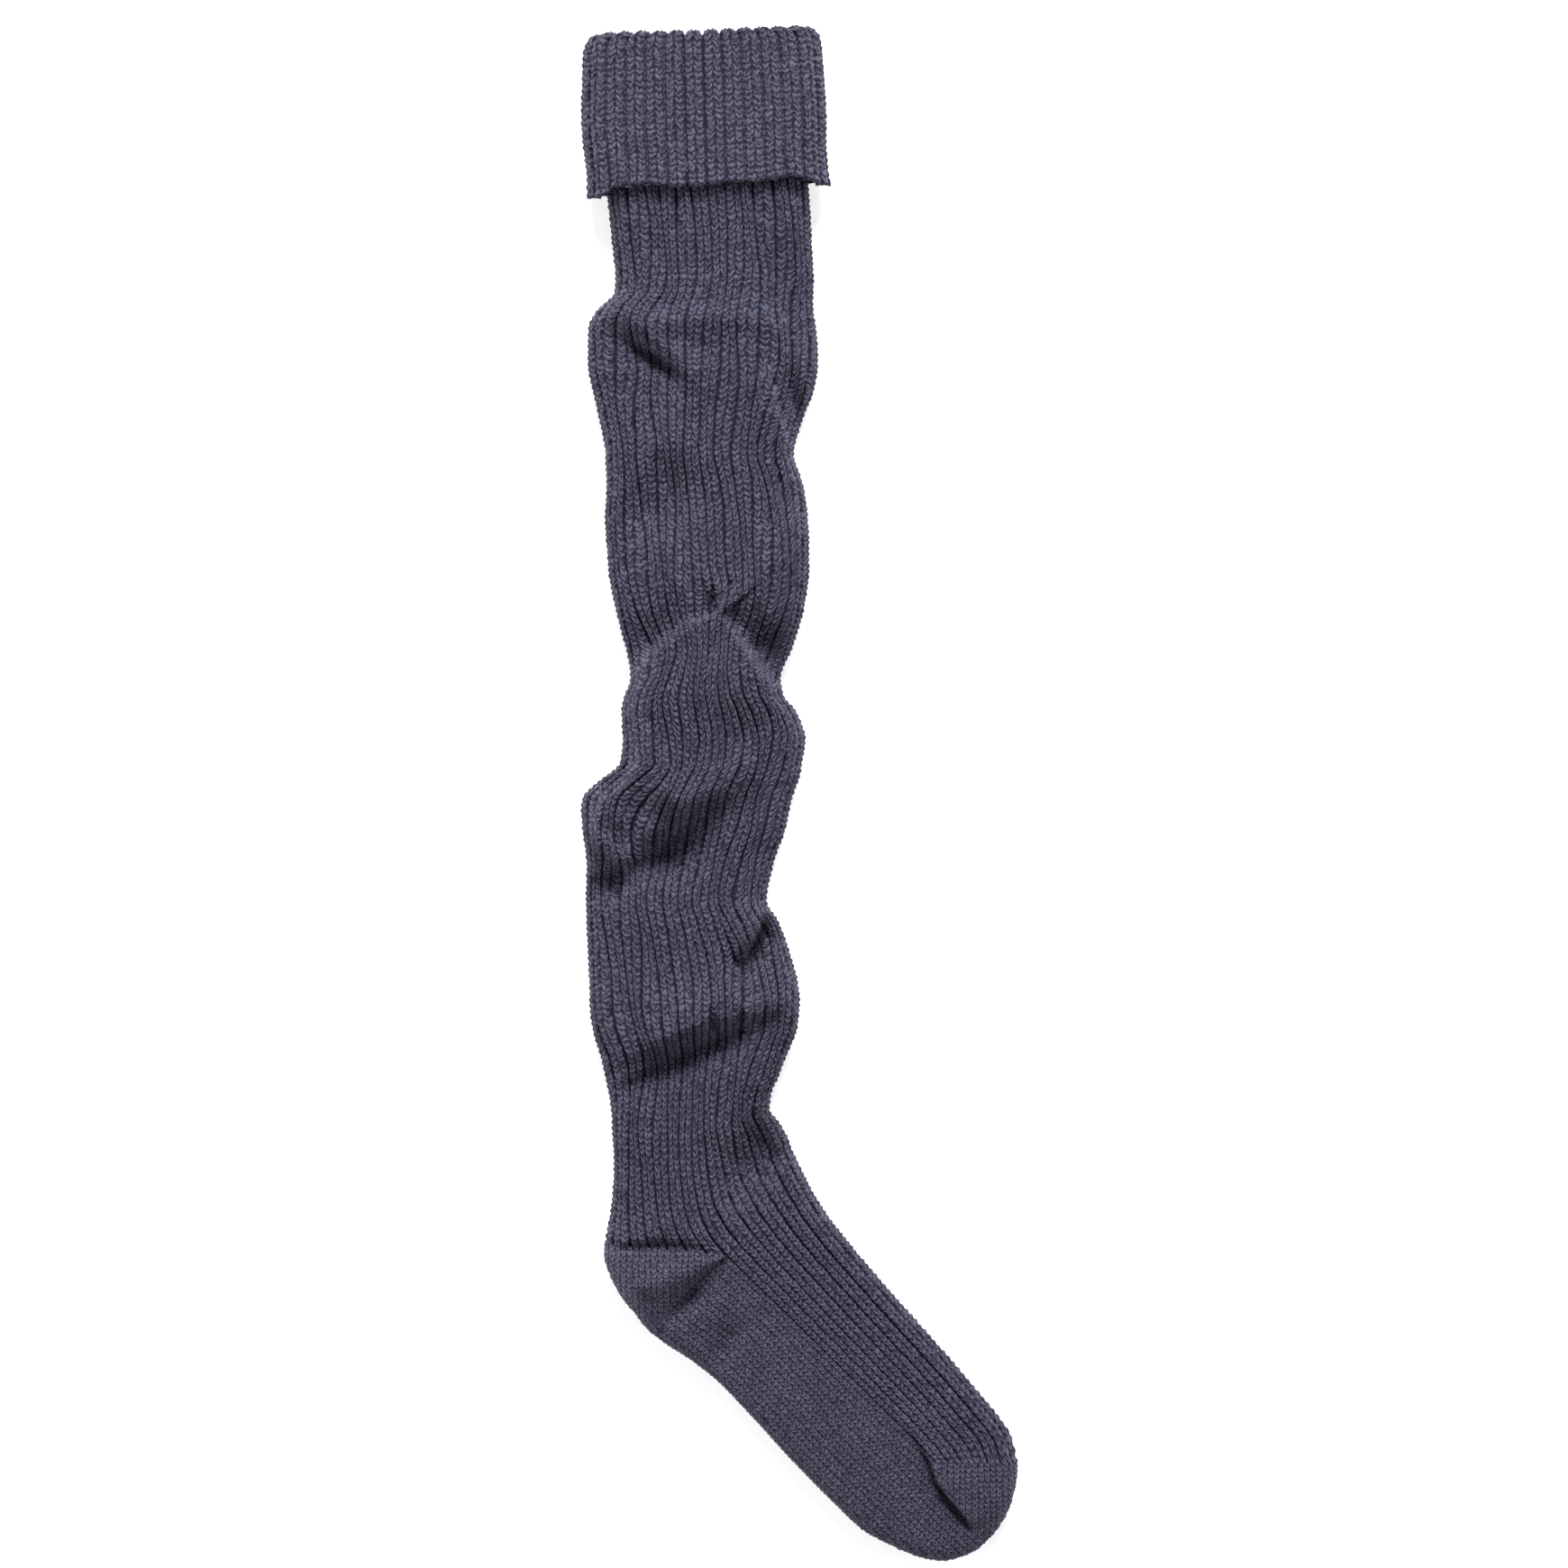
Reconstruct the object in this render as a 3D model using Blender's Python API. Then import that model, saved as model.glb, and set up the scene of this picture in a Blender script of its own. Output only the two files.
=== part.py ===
"""A ribbed over-the-knee sock with its top turned down, lying flat on its side.

Plan directions: +Y runs up the leg to the mouth, +X is the side that the toe points to.
Around the knit a share counts from 0 at the back edge, 0.25 at the middle of the upper face,
0.5 at the front edge and 0.75 at the middle of the underside.
"""

from collections import namedtuple
from math import atan2, ceil, cos, degrees, exp, hypot, pi, radians, sin

import bmesh
import bpy
from mathutils import Vector

# Driving dimensions: metres, and degrees for angles
LEG_LENGTH = 0.5555  # from the top of the turned cuff to the line where the heel starts
LEG_WIDTH = 0.092  # of the flat leg, where it lies smooth
LEG_THICKNESS = 0.018  # of the two layers and the air between them
CUFF_DEPTH = 0.0690
CUFF_TILT = 3.5
CUFF_STAND_OFF = 0.0057  # from the leg to the cuff's inside, sideways at the hem
CUFF_LOFT = 0.0030  # the same on the upper face
HEEL_REACH = 0.0557  # from the heel's corner to the back edge
HEEL_TILT = 5.0
HEEL_EASE = 0.0016  # how far the back of the heel strays from a plain turn
HEEL_PUFF = 0.0030
SOLE_LENGTH = 0.1337  # from the heel's corner to the toe's corner
FOOT_WIDTH = 0.0860
FOOT_THICKNESS = 0.0150
FOOT_DROP = 44.6  # the foot's direction, down from +X
TOE_BULGE = 0.0046
KNIT_WALL = 0.0028
RIB_DEPTH = 0.0012
RIBS_AROUND = 28
FOLD_HEIGHT = 0.0065  # of the tallest fold of the leg
CROWN = 0.20  # rise of the upper face at its middle, as a share of the thickness
CLEARANCE = 0.0003  # between neighbouring pieces
RING_SPACING = 0.036  # the longest step between two rings of the mesh

# Where each rib's crest starts and ends, as shares of the rib
CREST_SHARES = (0.22, 0.78)

# Leg sections. Down is a share of the leg's length, from the cuff's top. Middle is the place of the rib
# groove in the middle of the upper face, and back and front are the widths on its two sides, as shares
# of the leg's width. Thick is a share of the leg's thickness. The last section is the ankle, which
# takes its widths from the heel and the foot.
LEG_COLUMNS = ("middle", "back", "front", "thick")
LEG_SECTIONS = (
    (0.000, -0.004, 0.562, 0.558, 0.80),
    (0.061, 0.009, 0.554, 0.540, 0.85),
    (0.124, 0.022, 0.502, 0.502, 0.95),
    (0.157, 0.038, 0.498, 0.498, 1.00),
    (0.198, 0.045, 0.482, 0.505, 1.00),
    (0.211, 0.036, 0.480, 0.512, 1.00),
    (0.225, 0.018, 0.546, 0.530, 1.05),
    (0.240, 0.004, 0.576, 0.558, 1.10),
    (0.269, -0.004, 0.571, 0.576, 1.10),
    (0.292, -0.009, 0.540, 0.558, 1.05),
    (0.312, -0.013, 0.509, 0.513, 1.00),
    (0.344, -0.018, 0.469, 0.469, 1.00),
    (0.370, 0.000, 0.482, 0.500, 1.00),
    (0.401, 0.018, 0.507, 0.505, 1.00),
    (0.438, 0.027, 0.500, 0.500, 1.00),
    (0.475, 0.031, 0.460, 0.464, 1.05),
    (0.501, 0.031, 0.420, 0.415, 1.10),
    (0.528, 0.013, 0.375, 0.371, 1.20),
    (0.541, 0.013, 0.402, 0.384, 1.20),
    (0.557, 0.031, 0.438, 0.438, 1.15),
    (0.579, 0.049, 0.451, 0.460, 1.10),
    (0.597, 0.040, 0.455, 0.451, 1.10),
    (0.612, 0.000, 0.518, 0.473, 1.10),
    (0.626, -0.036, 0.565, 0.478, 1.10),
    (0.648, -0.067, 0.536, 0.482, 1.10),
    (0.681, -0.103, 0.478, 0.451, 1.00),
    (0.711, -0.125, 0.460, 0.440, 1.00),
    (0.728, -0.103, 0.478, 0.478, 1.05),
    (0.746, -0.080, 0.496, 0.498, 1.05),
    (0.792, -0.045, 0.520, 0.525, 1.15),
    (0.815, -0.045, 0.507, 0.513, 1.10),
    (0.835, -0.049, 0.469, 0.473, 1.00),
    (0.852, -0.054, 0.438, 0.438, 1.00),
    (0.882, -0.054, 0.406, 0.397, 1.00),
    (0.899, -0.056, 0.397, 0.400, 1.00),
    (0.925, -0.052, 0.394, 0.472, 0.95),
    (0.962, -0.022, 0.434, 0.549, 0.95),
    (0.985, 0.040, 0.517, 0.566, 0.98),
)
ANKLE_MIDDLE = 0.112
ANKLE_THICK = 1.00

# How a section turns from straight across: down, share of the cuff's tilt, share of the ankle's turn
TURN_COLUMNS = ("cuff", "ankle")
LEG_TURNS = (
    (0.000, 1.00, 0.00),
    (0.130, 1.00, 0.00),
    (0.200, 0.00, 0.00),
    (0.850, 0.00, 0.00),
    (0.882, 0.00, 0.23),
    (0.925, 0.00, 0.52),
    (0.962, 0.00, 0.76),
    (1.000, 0.00, 1.00),
)

# Foot sections. Along is a share of the sole's length. Sole and instep are the widths on the two sides
# of the line where they meet, as shares of the foot's width. Lead is how far the instep's edge runs
# ahead, as a share of the sole's length. Thin is how far the foot has come down to its own thickness.
FOOT_COLUMNS = ("sole", "instep", "lead", "thin")
FOOT_SECTIONS = (
    (0.00, 0.586, 0.590, 0.000, 0.00),
    (0.08, 0.569, 0.548, 0.000, 0.25),
    (0.18, 0.538, 0.514, 0.000, 0.60),
    (0.31, 0.519, 0.490, 0.000, 0.90),
    (0.49, 0.529, 0.462, 0.031, 1.00),
    (0.67, 0.543, 0.440, 0.074, 1.00),
    (0.86, 0.548, 0.405, 0.144, 1.00),
    (0.94, 0.548, 0.381, 0.178, 1.00),
    (1.00, 0.543, 0.298, 0.212, 1.00),
)

# Outlines of the heel and the toe: turn is a share of the way round, and reach a share of the stray
HEEL_TURNS = ((0.00, 0.0), (0.14, 0.5), (0.35, -0.1), (0.60, -0.6), (0.75, -1.0), (0.90, -0.4), (1.00, 0.0))
TOE_TURNS = (
    (0.00, 0.00),
    (0.11, -0.15),
    (0.20, 0.05),
    (0.30, 0.55),
    (0.40, 0.95),
    (0.50, 1.00),
    (0.60, 0.75),
    (0.72, 0.42),
    (0.86, 0.10),
    (1.00, 0.00),
)

# Folds of the leg's upper face. Down is a share of the leg's length. Across is from the middle of the
# leg, and length and breadth are half sizes, all as shares of the leg's width. Slant turns the fold
# from straight across, counter-clockwise. Rise is a share of the fold height, negative in a valley.
Fold = namedtuple("Fold", "down across slant length breadth rise")
LEG_FOLDS = (
    Fold(0.244, -0.30, -25, 0.22, 0.10, 0.80),
    Fold(0.240, 0.12, 0, 0.28, 0.08, 0.45),
    Fold(0.279, -0.25, -40, 0.24, 0.10, -0.85),
    Fold(0.357, -0.35, 90, 0.28, 0.14, 0.40),
    Fold(0.386, 0.41, 90, 0.40, 0.10, 0.50),
    Fold(0.423, -0.02, 90, 0.32, 0.16, -0.45),
    Fold(0.500, -0.29, 50, 0.22, 0.09, -0.85),
    Fold(0.500, 0.29, -50, 0.22, 0.09, -0.75),
    Fold(0.519, -0.02, 90, 0.22, 0.16, 0.80),
    Fold(0.607, -0.24, 90, 0.28, 0.15, 0.90),
    Fold(0.655, -0.48, 60, 0.14, 0.08, 0.50),
    Fold(0.685, -0.04, 40, 0.30, 0.11, -1.00),
    Fold(0.711, 0.20, 80, 0.18, 0.07, 0.60),
    Fold(0.756, 0.25, 50, 0.10, 0.06, -0.60),
    Fold(0.793, -0.09, 0, 0.36, 0.08, 0.95),
    Fold(0.832, -0.02, 20, 0.36, 0.09, -0.95),
    Fold(0.910, 0.20, 80, 0.20, 0.09, 0.45),
    Fold(0.935, 0.30, 60, 0.18, 0.06, -0.45),
)

# Folds of the foot. Along is a share of the sole's length, and across, toward the instep, one of its width
FOOT_FOLDS = (
    Fold(-0.05, -0.26, 92, 0.16, 0.06, -0.45),
    Fold(0.16, -0.28, 80, 0.14, 0.07, -0.25),
    Fold(1.08, -0.12, 15, 0.18, 0.05, -0.50),
)

# Colours and roughness of the knit, as linear red, green and blue
SLATE = (0.058, 0.057, 0.089)
KNIT_ROUGHNESS = 0.92

FOOT_WAY = Vector((cos(radians(FOOT_DROP)), -sin(radians(FOOT_DROP))))
INSTEP_WAY = Vector((-FOOT_WAY.y, FOOT_WAY.x))
ANKLE_TURN = 90.0 - FOOT_DROP

Row = namedtuple("Row", "back middle front lift thick")
Grow = namedtuple("Grow", "side top bottom")
NO_GROW = Grow(0.0, 0.0, 0.0)


def grown(grow, amount):
    """The same outline, larger all round by this amount."""
    return Grow(grow.side + amount, grow.top + amount, grow.bottom + amount)


def eased(share):
    """A share from 0 to 1, with a soft start and a soft end."""
    held = min(1.0, max(0.0, share))
    return held * held * (3.0 - 2.0 * held)


def slopes_of(places, values):
    """Slopes at the places of a table that keep a curve through its values from overshooting."""
    steps = [(values[i + 1] - values[i]) / (places[i + 1] - places[i]) for i in range(len(places) - 1)]
    slopes = [steps[0]]
    for before, after in zip(steps, steps[1:]):
        slopes.append(2.0 * before * after / (before + after) if before * after > 0.0 else 0.0)
    return slopes + [steps[-1]]


def read(table, column, place):
    """The value of one column of a table at a place between its rows."""
    places = [row[0] for row in table]
    values = [row[column] for row in table]
    slopes = slopes_of(places, values)
    i = max(k for k in range(len(places) - 1) if k == 0 or places[k] <= place)
    span = places[i + 1] - places[i]
    t = min(1.0, max(0.0, (place - places[i]) / span))
    start = (1.0 + 2.0 * t) * (1.0 - t) ** 2 * values[i] + t * (1.0 - t) ** 2 * span * slopes[i]
    end = t * t * (3.0 - 2.0 * t) * values[i + 1] - t * t * (1.0 - t) * span * slopes[i + 1]
    return start + end


def foot_value(name, along):
    return read(FOOT_SECTIONS, FOOT_COLUMNS.index(name) + 1, along)


def whole_leg():
    """The leg's table with its last section, which meets the heel and the foot."""
    ankle = (
        1.0,
        ANKLE_MIDDLE,
        HEEL_REACH / LEG_WIDTH,
        foot_value("instep", 0.0) * FOOT_WIDTH / LEG_WIDTH,
        ANKLE_THICK,
    )
    return LEG_SECTIONS + (ankle,)


LEG_TABLE = whole_leg()


def leg_value(name, down):
    return read(LEG_TABLE, LEG_COLUMNS.index(name) + 1, down)


def turn_value(name, down):
    return read(LEG_TURNS, TURN_COLUMNS.index(name) + 1, down)


def heading(angle):
    """The plan direction at an angle in degrees from +X."""
    return Vector((cos(radians(angle)), sin(radians(angle))))


def leg_row(down):
    """The leg's section at a share of its length."""
    middle = Vector((leg_value("middle", down) * LEG_WIDTH, -down * LEG_LENGTH))
    tilt = CUFF_TILT * turn_value("cuff", down)
    ankle = turn_value("ankle", down)
    back = middle + heading(180.0 + tilt - HEEL_TILT * ankle) * leg_value("back", down) * LEG_WIDTH
    front = middle + heading(tilt + ANKLE_TURN * ankle) * leg_value("front", down) * LEG_WIDTH
    past_hem = (down * LEG_LENGTH - CUFF_DEPTH) / CUFF_DEPTH
    lift = (KNIT_WALL + CLEARANCE) * (1.0 - eased(past_hem * 2.0))
    return Row(back, middle, front, lift, leg_value("thick", down) * LEG_THICKNESS)


HEEL_CORNER = leg_row(1.0).middle
TOE_CORNER = HEEL_CORNER + FOOT_WAY * SOLE_LENGTH


def foot_row(along):
    """The foot's section at a share of the sole's length."""
    middle = HEEL_CORNER + FOOT_WAY * along * SOLE_LENGTH
    back = middle - INSTEP_WAY * foot_value("sole", along) * FOOT_WIDTH
    lead = FOOT_WAY * foot_value("lead", along) * SOLE_LENGTH
    front = middle + lead + INSTEP_WAY * foot_value("instep", along) * FOOT_WIDTH
    ankle_thick = ANKLE_THICK * LEG_THICKNESS
    thick = ankle_thick + (FOOT_THICKNESS - ankle_thick) * foot_value("thin", along)
    return Row(back, middle, front, 0.0, thick)


def placed_folds():
    """Every fold as its centre, its direction, and its half sizes and rise in metres."""
    found = []
    for fold in LEG_FOLDS:
        centre = Vector((fold.across * LEG_WIDTH, -fold.down * LEG_LENGTH))
        found.append((centre, heading(fold.slant), fold))
    for fold in FOOT_FOLDS:
        centre = HEEL_CORNER + FOOT_WAY * fold.down * SOLE_LENGTH + INSTEP_WAY * fold.across * FOOT_WIDTH
        found.append((centre, heading(fold.slant), fold))
    return found


FOLDS = placed_folds()


def fold_rise(spot):
    """How far the folds raise the upper face at a place in plan."""
    rise = 0.0
    for centre, way, fold in FOLDS:
        offset = spot - centre
        along = offset.dot(way) / (fold.length * LEG_WIDTH)
        across = (offset.y * way.x - offset.x * way.y) / (fold.breadth * LEG_WIDTH)
        rise += fold.rise * FOLD_HEIGHT * exp(-along * along - across * across)
    return rise


def section_point(row, share, grow):
    """A point of a section, at a share of the way round: flat below, round at its edges, crowned above."""
    quarter = (share % 1.0) * 4.0
    edge = row.back if quarter <= 1.0 or quarter >= 3.0 else row.front
    part = 1.0 - abs(quarter % 2.0 - 1.0)
    half = (row.thick + grow.top + grow.bottom) / 2.0
    width = (edge - row.middle).length + grow.side
    bend = pi / 2.0 * half
    travel = part * (bend + width - half)
    if travel < bend:
        inward = half * (1.0 - cos(travel / half))
        rise = half * sin(travel / half)
    else:
        inward = half + travel - bend
        rise = half
    spot = row.middle + (edge - row.middle).normalized() * (width - inward)
    level = row.lift - grow.bottom + half
    if quarter > 2.0:
        return Vector((spot.x, spot.y, level - rise))
    crown = CROWN * row.thick * (1.0 - (1.0 - inward / width) ** 2)
    lifted = (crown + fold_rise(spot)) * (rise / half) ** 2
    return Vector((spot.x, spot.y, level + rise + lifted))


def ribbed_line(row, grow, first_rib, last_rib):
    """Places and points along ribs, each with its groove and the two sides of its crest."""
    line = []
    for rib in range(first_rib, last_rib):
        groove = rib / RIBS_AROUND
        line.append((groove, section_point(row, groove, grown(grow, -RIB_DEPTH))))
        for part in CREST_SHARES:
            crest = (rib + part) / RIBS_AROUND
            line.append((crest, section_point(row, crest, grow)))
    return line


def plain_line(row, grow, first_rib, last_rib):
    """Places and points along smooth knit, one for each rib's width."""
    places = [rib / RIBS_AROUND for rib in range(first_rib, last_rib)]
    return [(place, section_point(row, place, grow)) for place in places]


def smooth_ribbed_line(row, grow, first_rib, last_rib):
    """Smooth knit with its points where a ribbed neighbour has them."""
    places = []
    for rib in range(first_rib, last_rib):
        places += [rib / RIBS_AROUND] + [(rib + part) / RIBS_AROUND for part in CREST_SHARES]
    return [(place, section_point(row, place, grow)) for place in places]


def ring(mesh, line):
    """A closed ring of vertices, from its places and points."""
    made = [(place, mesh.verts.new(point)) for place, point in line]
    return made + [(made[0][0] + 1.0, made[0][1])]


def bridge(mesh, first, second):
    """Joins two rings with faces, stepping along whichever is behind."""
    i = j = 0
    while i < len(first) - 1 or j < len(second) - 1:
        ahead_first = first[i + 1][0] if i < len(first) - 1 else 2.0
        ahead_second = second[j + 1][0] if j < len(second) - 1 else 2.0
        step_first = ahead_first <= ahead_second + 1e-6
        step_second = ahead_second <= ahead_first + 1e-6
        corners = [first[i][1]]
        if step_first:
            i += 1
            corners.append(first[i][1])
        if step_second:
            corners.append(second[j + 1][1])
        corners.append(second[j][1])
        if step_second:
            j += 1
        corners = list(dict.fromkeys(corners))
        if len(corners) > 2:
            mesh.faces.new(corners)


def knit_material(name, colour):
    material = bpy.data.materials.new(name)
    material.use_nodes = True
    shader = material.node_tree.nodes["Principled BSDF"]
    shader.inputs["Base Color"].default_value = (*colour, 1.0)
    shader.inputs["Roughness"].default_value = KNIT_ROUGHNESS
    shader.inputs["Metallic"].default_value = 0.0
    material.diffuse_color = (*colour, 1.0)
    return material


def knit_piece(name, mesh, rings, parent):
    """One object, a tube or a pocket whose rings run up its outside and back down its inside."""
    for before, after in zip(rings, rings[1:] + rings[:1]):
        bridge(mesh, before, after)
    bmesh.ops.recalc_face_normals(mesh, faces=mesh.faces)
    data = bpy.data.meshes.new(name)
    mesh.to_mesh(data)
    mesh.free()
    data.shade_smooth()
    data.set_sharp_from_angle(angle=radians(50.0))
    data.materials.append(knit_material(name + "_knit", SLATE))
    piece = bpy.data.objects.new(name, data)
    bpy.context.collection.objects.link(piece)
    piece.parent = parent
    return piece


def spaced(places, longest):
    """These places, with more between any two that lie further apart than the longest step."""
    found = []
    for start, end in zip(places, places[1:]):
        steps = ceil((end - start) / longest - 1e-6)
        found += [start + (end - start) * k / steps for k in range(steps)]
    return found + [places[-1]]


def leg_places(first, last):
    """The leg's own sections between two shares of its length."""
    inside = [row[0] for row in LEG_TABLE if first < row[0] < last]
    return spaced([first] + inside + [last], RING_SPACING / LEG_LENGTH)


FOLD_RADIUS = KNIT_WALL + CLEARANCE / 2.0
LEG_TOP = (FOLD_RADIUS + CLEARANCE) / LEG_LENGTH
HEM = CUFF_DEPTH / LEG_LENGTH


def make_leg(parent):
    """The ribbed leg, from under the cuff's fold to the heel and the ankle."""
    mesh = bmesh.new()
    rows = [leg_row(down) for down in leg_places(LEG_TOP, 1.0)]
    outside = [ring(mesh, ribbed_line(row, NO_GROW, 0, RIBS_AROUND)) for row in rows]
    inner = grown(NO_GROW, -KNIT_WALL)
    inside = [ring(mesh, plain_line(row, inner, 0, RIBS_AROUND)) for row in rows]
    return knit_piece("leg", mesh, outside + inside[::-1], parent)


def cuff_inside(down):
    """How much larger the cuff's inner face is than the leg, at a share of the leg's length."""
    flare = down / HEM
    return Grow(CLEARANCE + CUFF_STAND_OFF * flare, CLEARANCE + CUFF_LOFT * flare, CLEARANCE)


def make_cuff(parent):
    """The turned cuff: its outer layer, the round fold over the leg's top end, and its inner face."""
    mesh = bmesh.new()
    rings = []
    fold_top = FOLD_RADIUS / LEG_LENGTH
    layer = leg_places(LEG_TOP, HEM)
    for down in layer[::-1]:
        outer = grown(cuff_inside(down), KNIT_WALL)
        rings.append(ring(mesh, ribbed_line(leg_row(down), outer, 0, RIBS_AROUND)))
    crest = grown(cuff_inside(fold_top), KNIT_WALL)
    for angle in (35.0, 70.0, 110.0, 145.0, 180.0):
        row = leg_row(fold_top * (1.0 - sin(radians(angle))))
        shrink = FOLD_RADIUS * (1.0 - cos(radians(angle)))
        line = ribbed_line if angle < 90.0 else plain_line
        rings.append(ring(mesh, line(row, grown(crest, -shrink), 0, RIBS_AROUND)))
    for down in [fold_top] + layer[1:]:
        rings.append(ring(mesh, smooth_ribbed_line(leg_row(down), cuff_inside(down), 0, RIBS_AROUND)))
    return knit_piece("turned_cuff", mesh, rings, parent)


def make_foot(parent):
    """The tube of the foot: a plain sole, and an instep that carries on the ribs of the leg's front."""
    mesh = bmesh.new()
    start = CLEARANCE / SOLE_LENGTH
    inside_places = [row[0] for row in FOOT_SECTIONS if start < row[0] < 1.0]
    rows = [foot_row(along) for along in spaced([start] + inside_places + [1.0], RING_SPACING / SOLE_LENGTH)]
    quarter = RIBS_AROUND // 4
    inner = grown(NO_GROW, -KNIT_WALL)
    outside = []
    for row in rows:
        line = plain_line(row, NO_GROW, 0, quarter)
        line += ribbed_line(row, NO_GROW, quarter, 3 * quarter)
        line += plain_line(row, NO_GROW, 3 * quarter, RIBS_AROUND)
        outside.append(ring(mesh, line))
    inside = [ring(mesh, plain_line(row, inner, 0, RIBS_AROUND)) for row in rows]
    return knit_piece("foot", mesh, outside + inside[::-1], parent)


def pocket_rows(corner, first_angle, last_angle, reach_at, thick_at, steps):
    """Rows that fan round a corner, a clearance in from the two lines where the pocket starts and ends."""
    half_turn = radians(last_angle - first_angle) / 2.0
    centre = corner + heading((first_angle + last_angle) / 2.0) * CLEARANCE / sin(half_turn)
    rows = []
    for step in range(steps + 1):
        turn = step / steps
        way = heading(first_angle + (last_angle - first_angle) * turn)
        rows.append(Row(centre + way * reach_at(turn), centre, None, 0.0, thick_at(turn)))
    return rows


def make_pocket(name, rows, parent):
    """A heel or a toe: half rings that meet at the corner, above and below."""
    mesh = bmesh.new()
    quarter = RIBS_AROUND // 4
    shells = []
    for grow in (NO_GROW, grown(NO_GROW, -KNIT_WALL)):
        shell = []
        for row in rows:
            line = plain_line(row, grow, 1 - quarter, quarter)
            shell.append([(place, mesh.verts.new(point)) for place, point in line])
        ends = [mesh.verts.new(section_point(rows[0], place, grow)) for place in (0.75, 0.25)]
        for half_ring in shell:
            half_ring.insert(0, (-0.25, ends[0]))
            half_ring.append((0.25, ends[1]))
        shells.append(shell)
    return knit_piece(name, mesh, shells[0] + shells[1][::-1], parent)


def make_heel(parent):
    """The plain heel pocket, between the leg's back and the sole."""
    sole = foot_value("sole", 0.0) * FOOT_WIDTH
    thick = ANKLE_THICK * LEG_THICKNESS

    def reach_at(turn):
        return HEEL_REACH + (sole - HEEL_REACH) * turn + HEEL_EASE * read(HEEL_TURNS, 1, turn)

    def thick_at(turn):
        return thick + HEEL_PUFF * sin(pi * turn)

    rows = pocket_rows(HEEL_CORNER, 180.0 - HEEL_TILT, 270.0 - FOOT_DROP, reach_at, thick_at, 6)
    return make_pocket("heel", rows, parent)


def make_toe(parent):
    """The plain toe pocket, from the end of the sole to the seam across the instep."""
    sole = foot_value("sole", 1.0) * FOOT_WIDTH
    seam_along = foot_value("lead", 1.0) * SOLE_LENGTH
    seam_across = foot_value("instep", 1.0) * FOOT_WIDTH
    seam = hypot(seam_along, seam_across)
    seam_angle = 360.0 - FOOT_DROP + degrees(atan2(seam_across, seam_along))

    def reach_at(turn):
        return sole + (seam - sole) * turn + TOE_BULGE * read(TOE_TURNS, 1, turn)

    rows = pocket_rows(TOE_CORNER, 270.0 - FOOT_DROP, seam_angle, reach_at, lambda turn: FOOT_THICKNESS, 11)
    return make_pocket("toe", rows, parent)


def stand_at_origin(parent, pieces):
    """Moves the whole sock so that the centre of its box stands over the origin."""
    corners = [vertex.co for piece in pieces for vertex in piece.data.vertices]
    for axis in (0, 1):
        values = [corner[axis] for corner in corners]
        parent.location[axis] = -(min(values) + max(values)) / 2.0
    parent.location[2] = -min(corner[2] for corner in corners)


def make_sock():
    for old in list(bpy.data.objects):
        bpy.data.objects.remove(old)
    sock = bpy.data.objects.new("sock", None)
    bpy.context.collection.objects.link(sock)
    makers = (make_cuff, make_leg, make_heel, make_foot, make_toe)
    stand_at_origin(sock, [make(sock) for make in makers])


make_sock()
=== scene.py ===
"""The look of a ribbed over-the-knee sock with its top turned down, lying flat on its side.

The knit is built stitch by stitch over the same sections as the solids. Plan directions are those of
the frame: +Y runs up the leg, and +X is the side that the toe points to. Around the knit a share counts
from 0 at the back edge, 0.25 at the middle of the upper face, 0.5 at the front edge and 0.75 below.
"""

from collections import namedtuple
from math import atan2, cos, degrees, hypot, pi, radians, sin

import bpy
import numpy as np
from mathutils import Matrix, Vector


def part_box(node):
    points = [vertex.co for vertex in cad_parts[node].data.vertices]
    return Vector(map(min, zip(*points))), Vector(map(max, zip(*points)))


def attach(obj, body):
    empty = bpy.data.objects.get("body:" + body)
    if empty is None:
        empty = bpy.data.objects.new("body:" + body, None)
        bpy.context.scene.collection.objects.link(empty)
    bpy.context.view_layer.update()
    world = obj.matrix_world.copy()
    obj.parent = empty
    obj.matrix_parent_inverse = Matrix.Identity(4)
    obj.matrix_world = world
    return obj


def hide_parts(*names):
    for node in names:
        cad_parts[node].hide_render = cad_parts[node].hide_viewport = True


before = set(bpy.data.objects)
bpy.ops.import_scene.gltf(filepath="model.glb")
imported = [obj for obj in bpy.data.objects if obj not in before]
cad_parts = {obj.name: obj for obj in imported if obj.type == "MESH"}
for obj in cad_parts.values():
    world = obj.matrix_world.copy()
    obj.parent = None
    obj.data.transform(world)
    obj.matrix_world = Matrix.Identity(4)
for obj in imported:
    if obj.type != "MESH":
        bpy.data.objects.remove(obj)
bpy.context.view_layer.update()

# Sizes of the sock: metres, and degrees for angles
LEG_LENGTH = 0.5555
LEG_WIDTH = 0.092
LEG_THICKNESS = 0.018
CUFF_DEPTH = 0.0690
CUFF_TILT = 3.5
CUFF_STAND_OFF = 0.0057
CUFF_LOFT = 0.0030
HEEL_REACH = 0.0557
HEEL_TILT = 5.0
HEEL_EASE = 0.0016
HEEL_PUFF = 0.0030
SOLE_LENGTH = 0.1337
FOOT_WIDTH = 0.0860
FOOT_THICKNESS = 0.0150
FOOT_DROP = 44.6
TOE_BULGE = 0.0046
KNIT_WALL = 0.0028
RIBS_AROUND = 28
CROWN = 0.20
CLEARANCE = 0.0003
HALF, QUARTER = RIBS_AROUND // 2, RIBS_AROUND // 4  # ribs of the upper face, and of half of it

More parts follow.
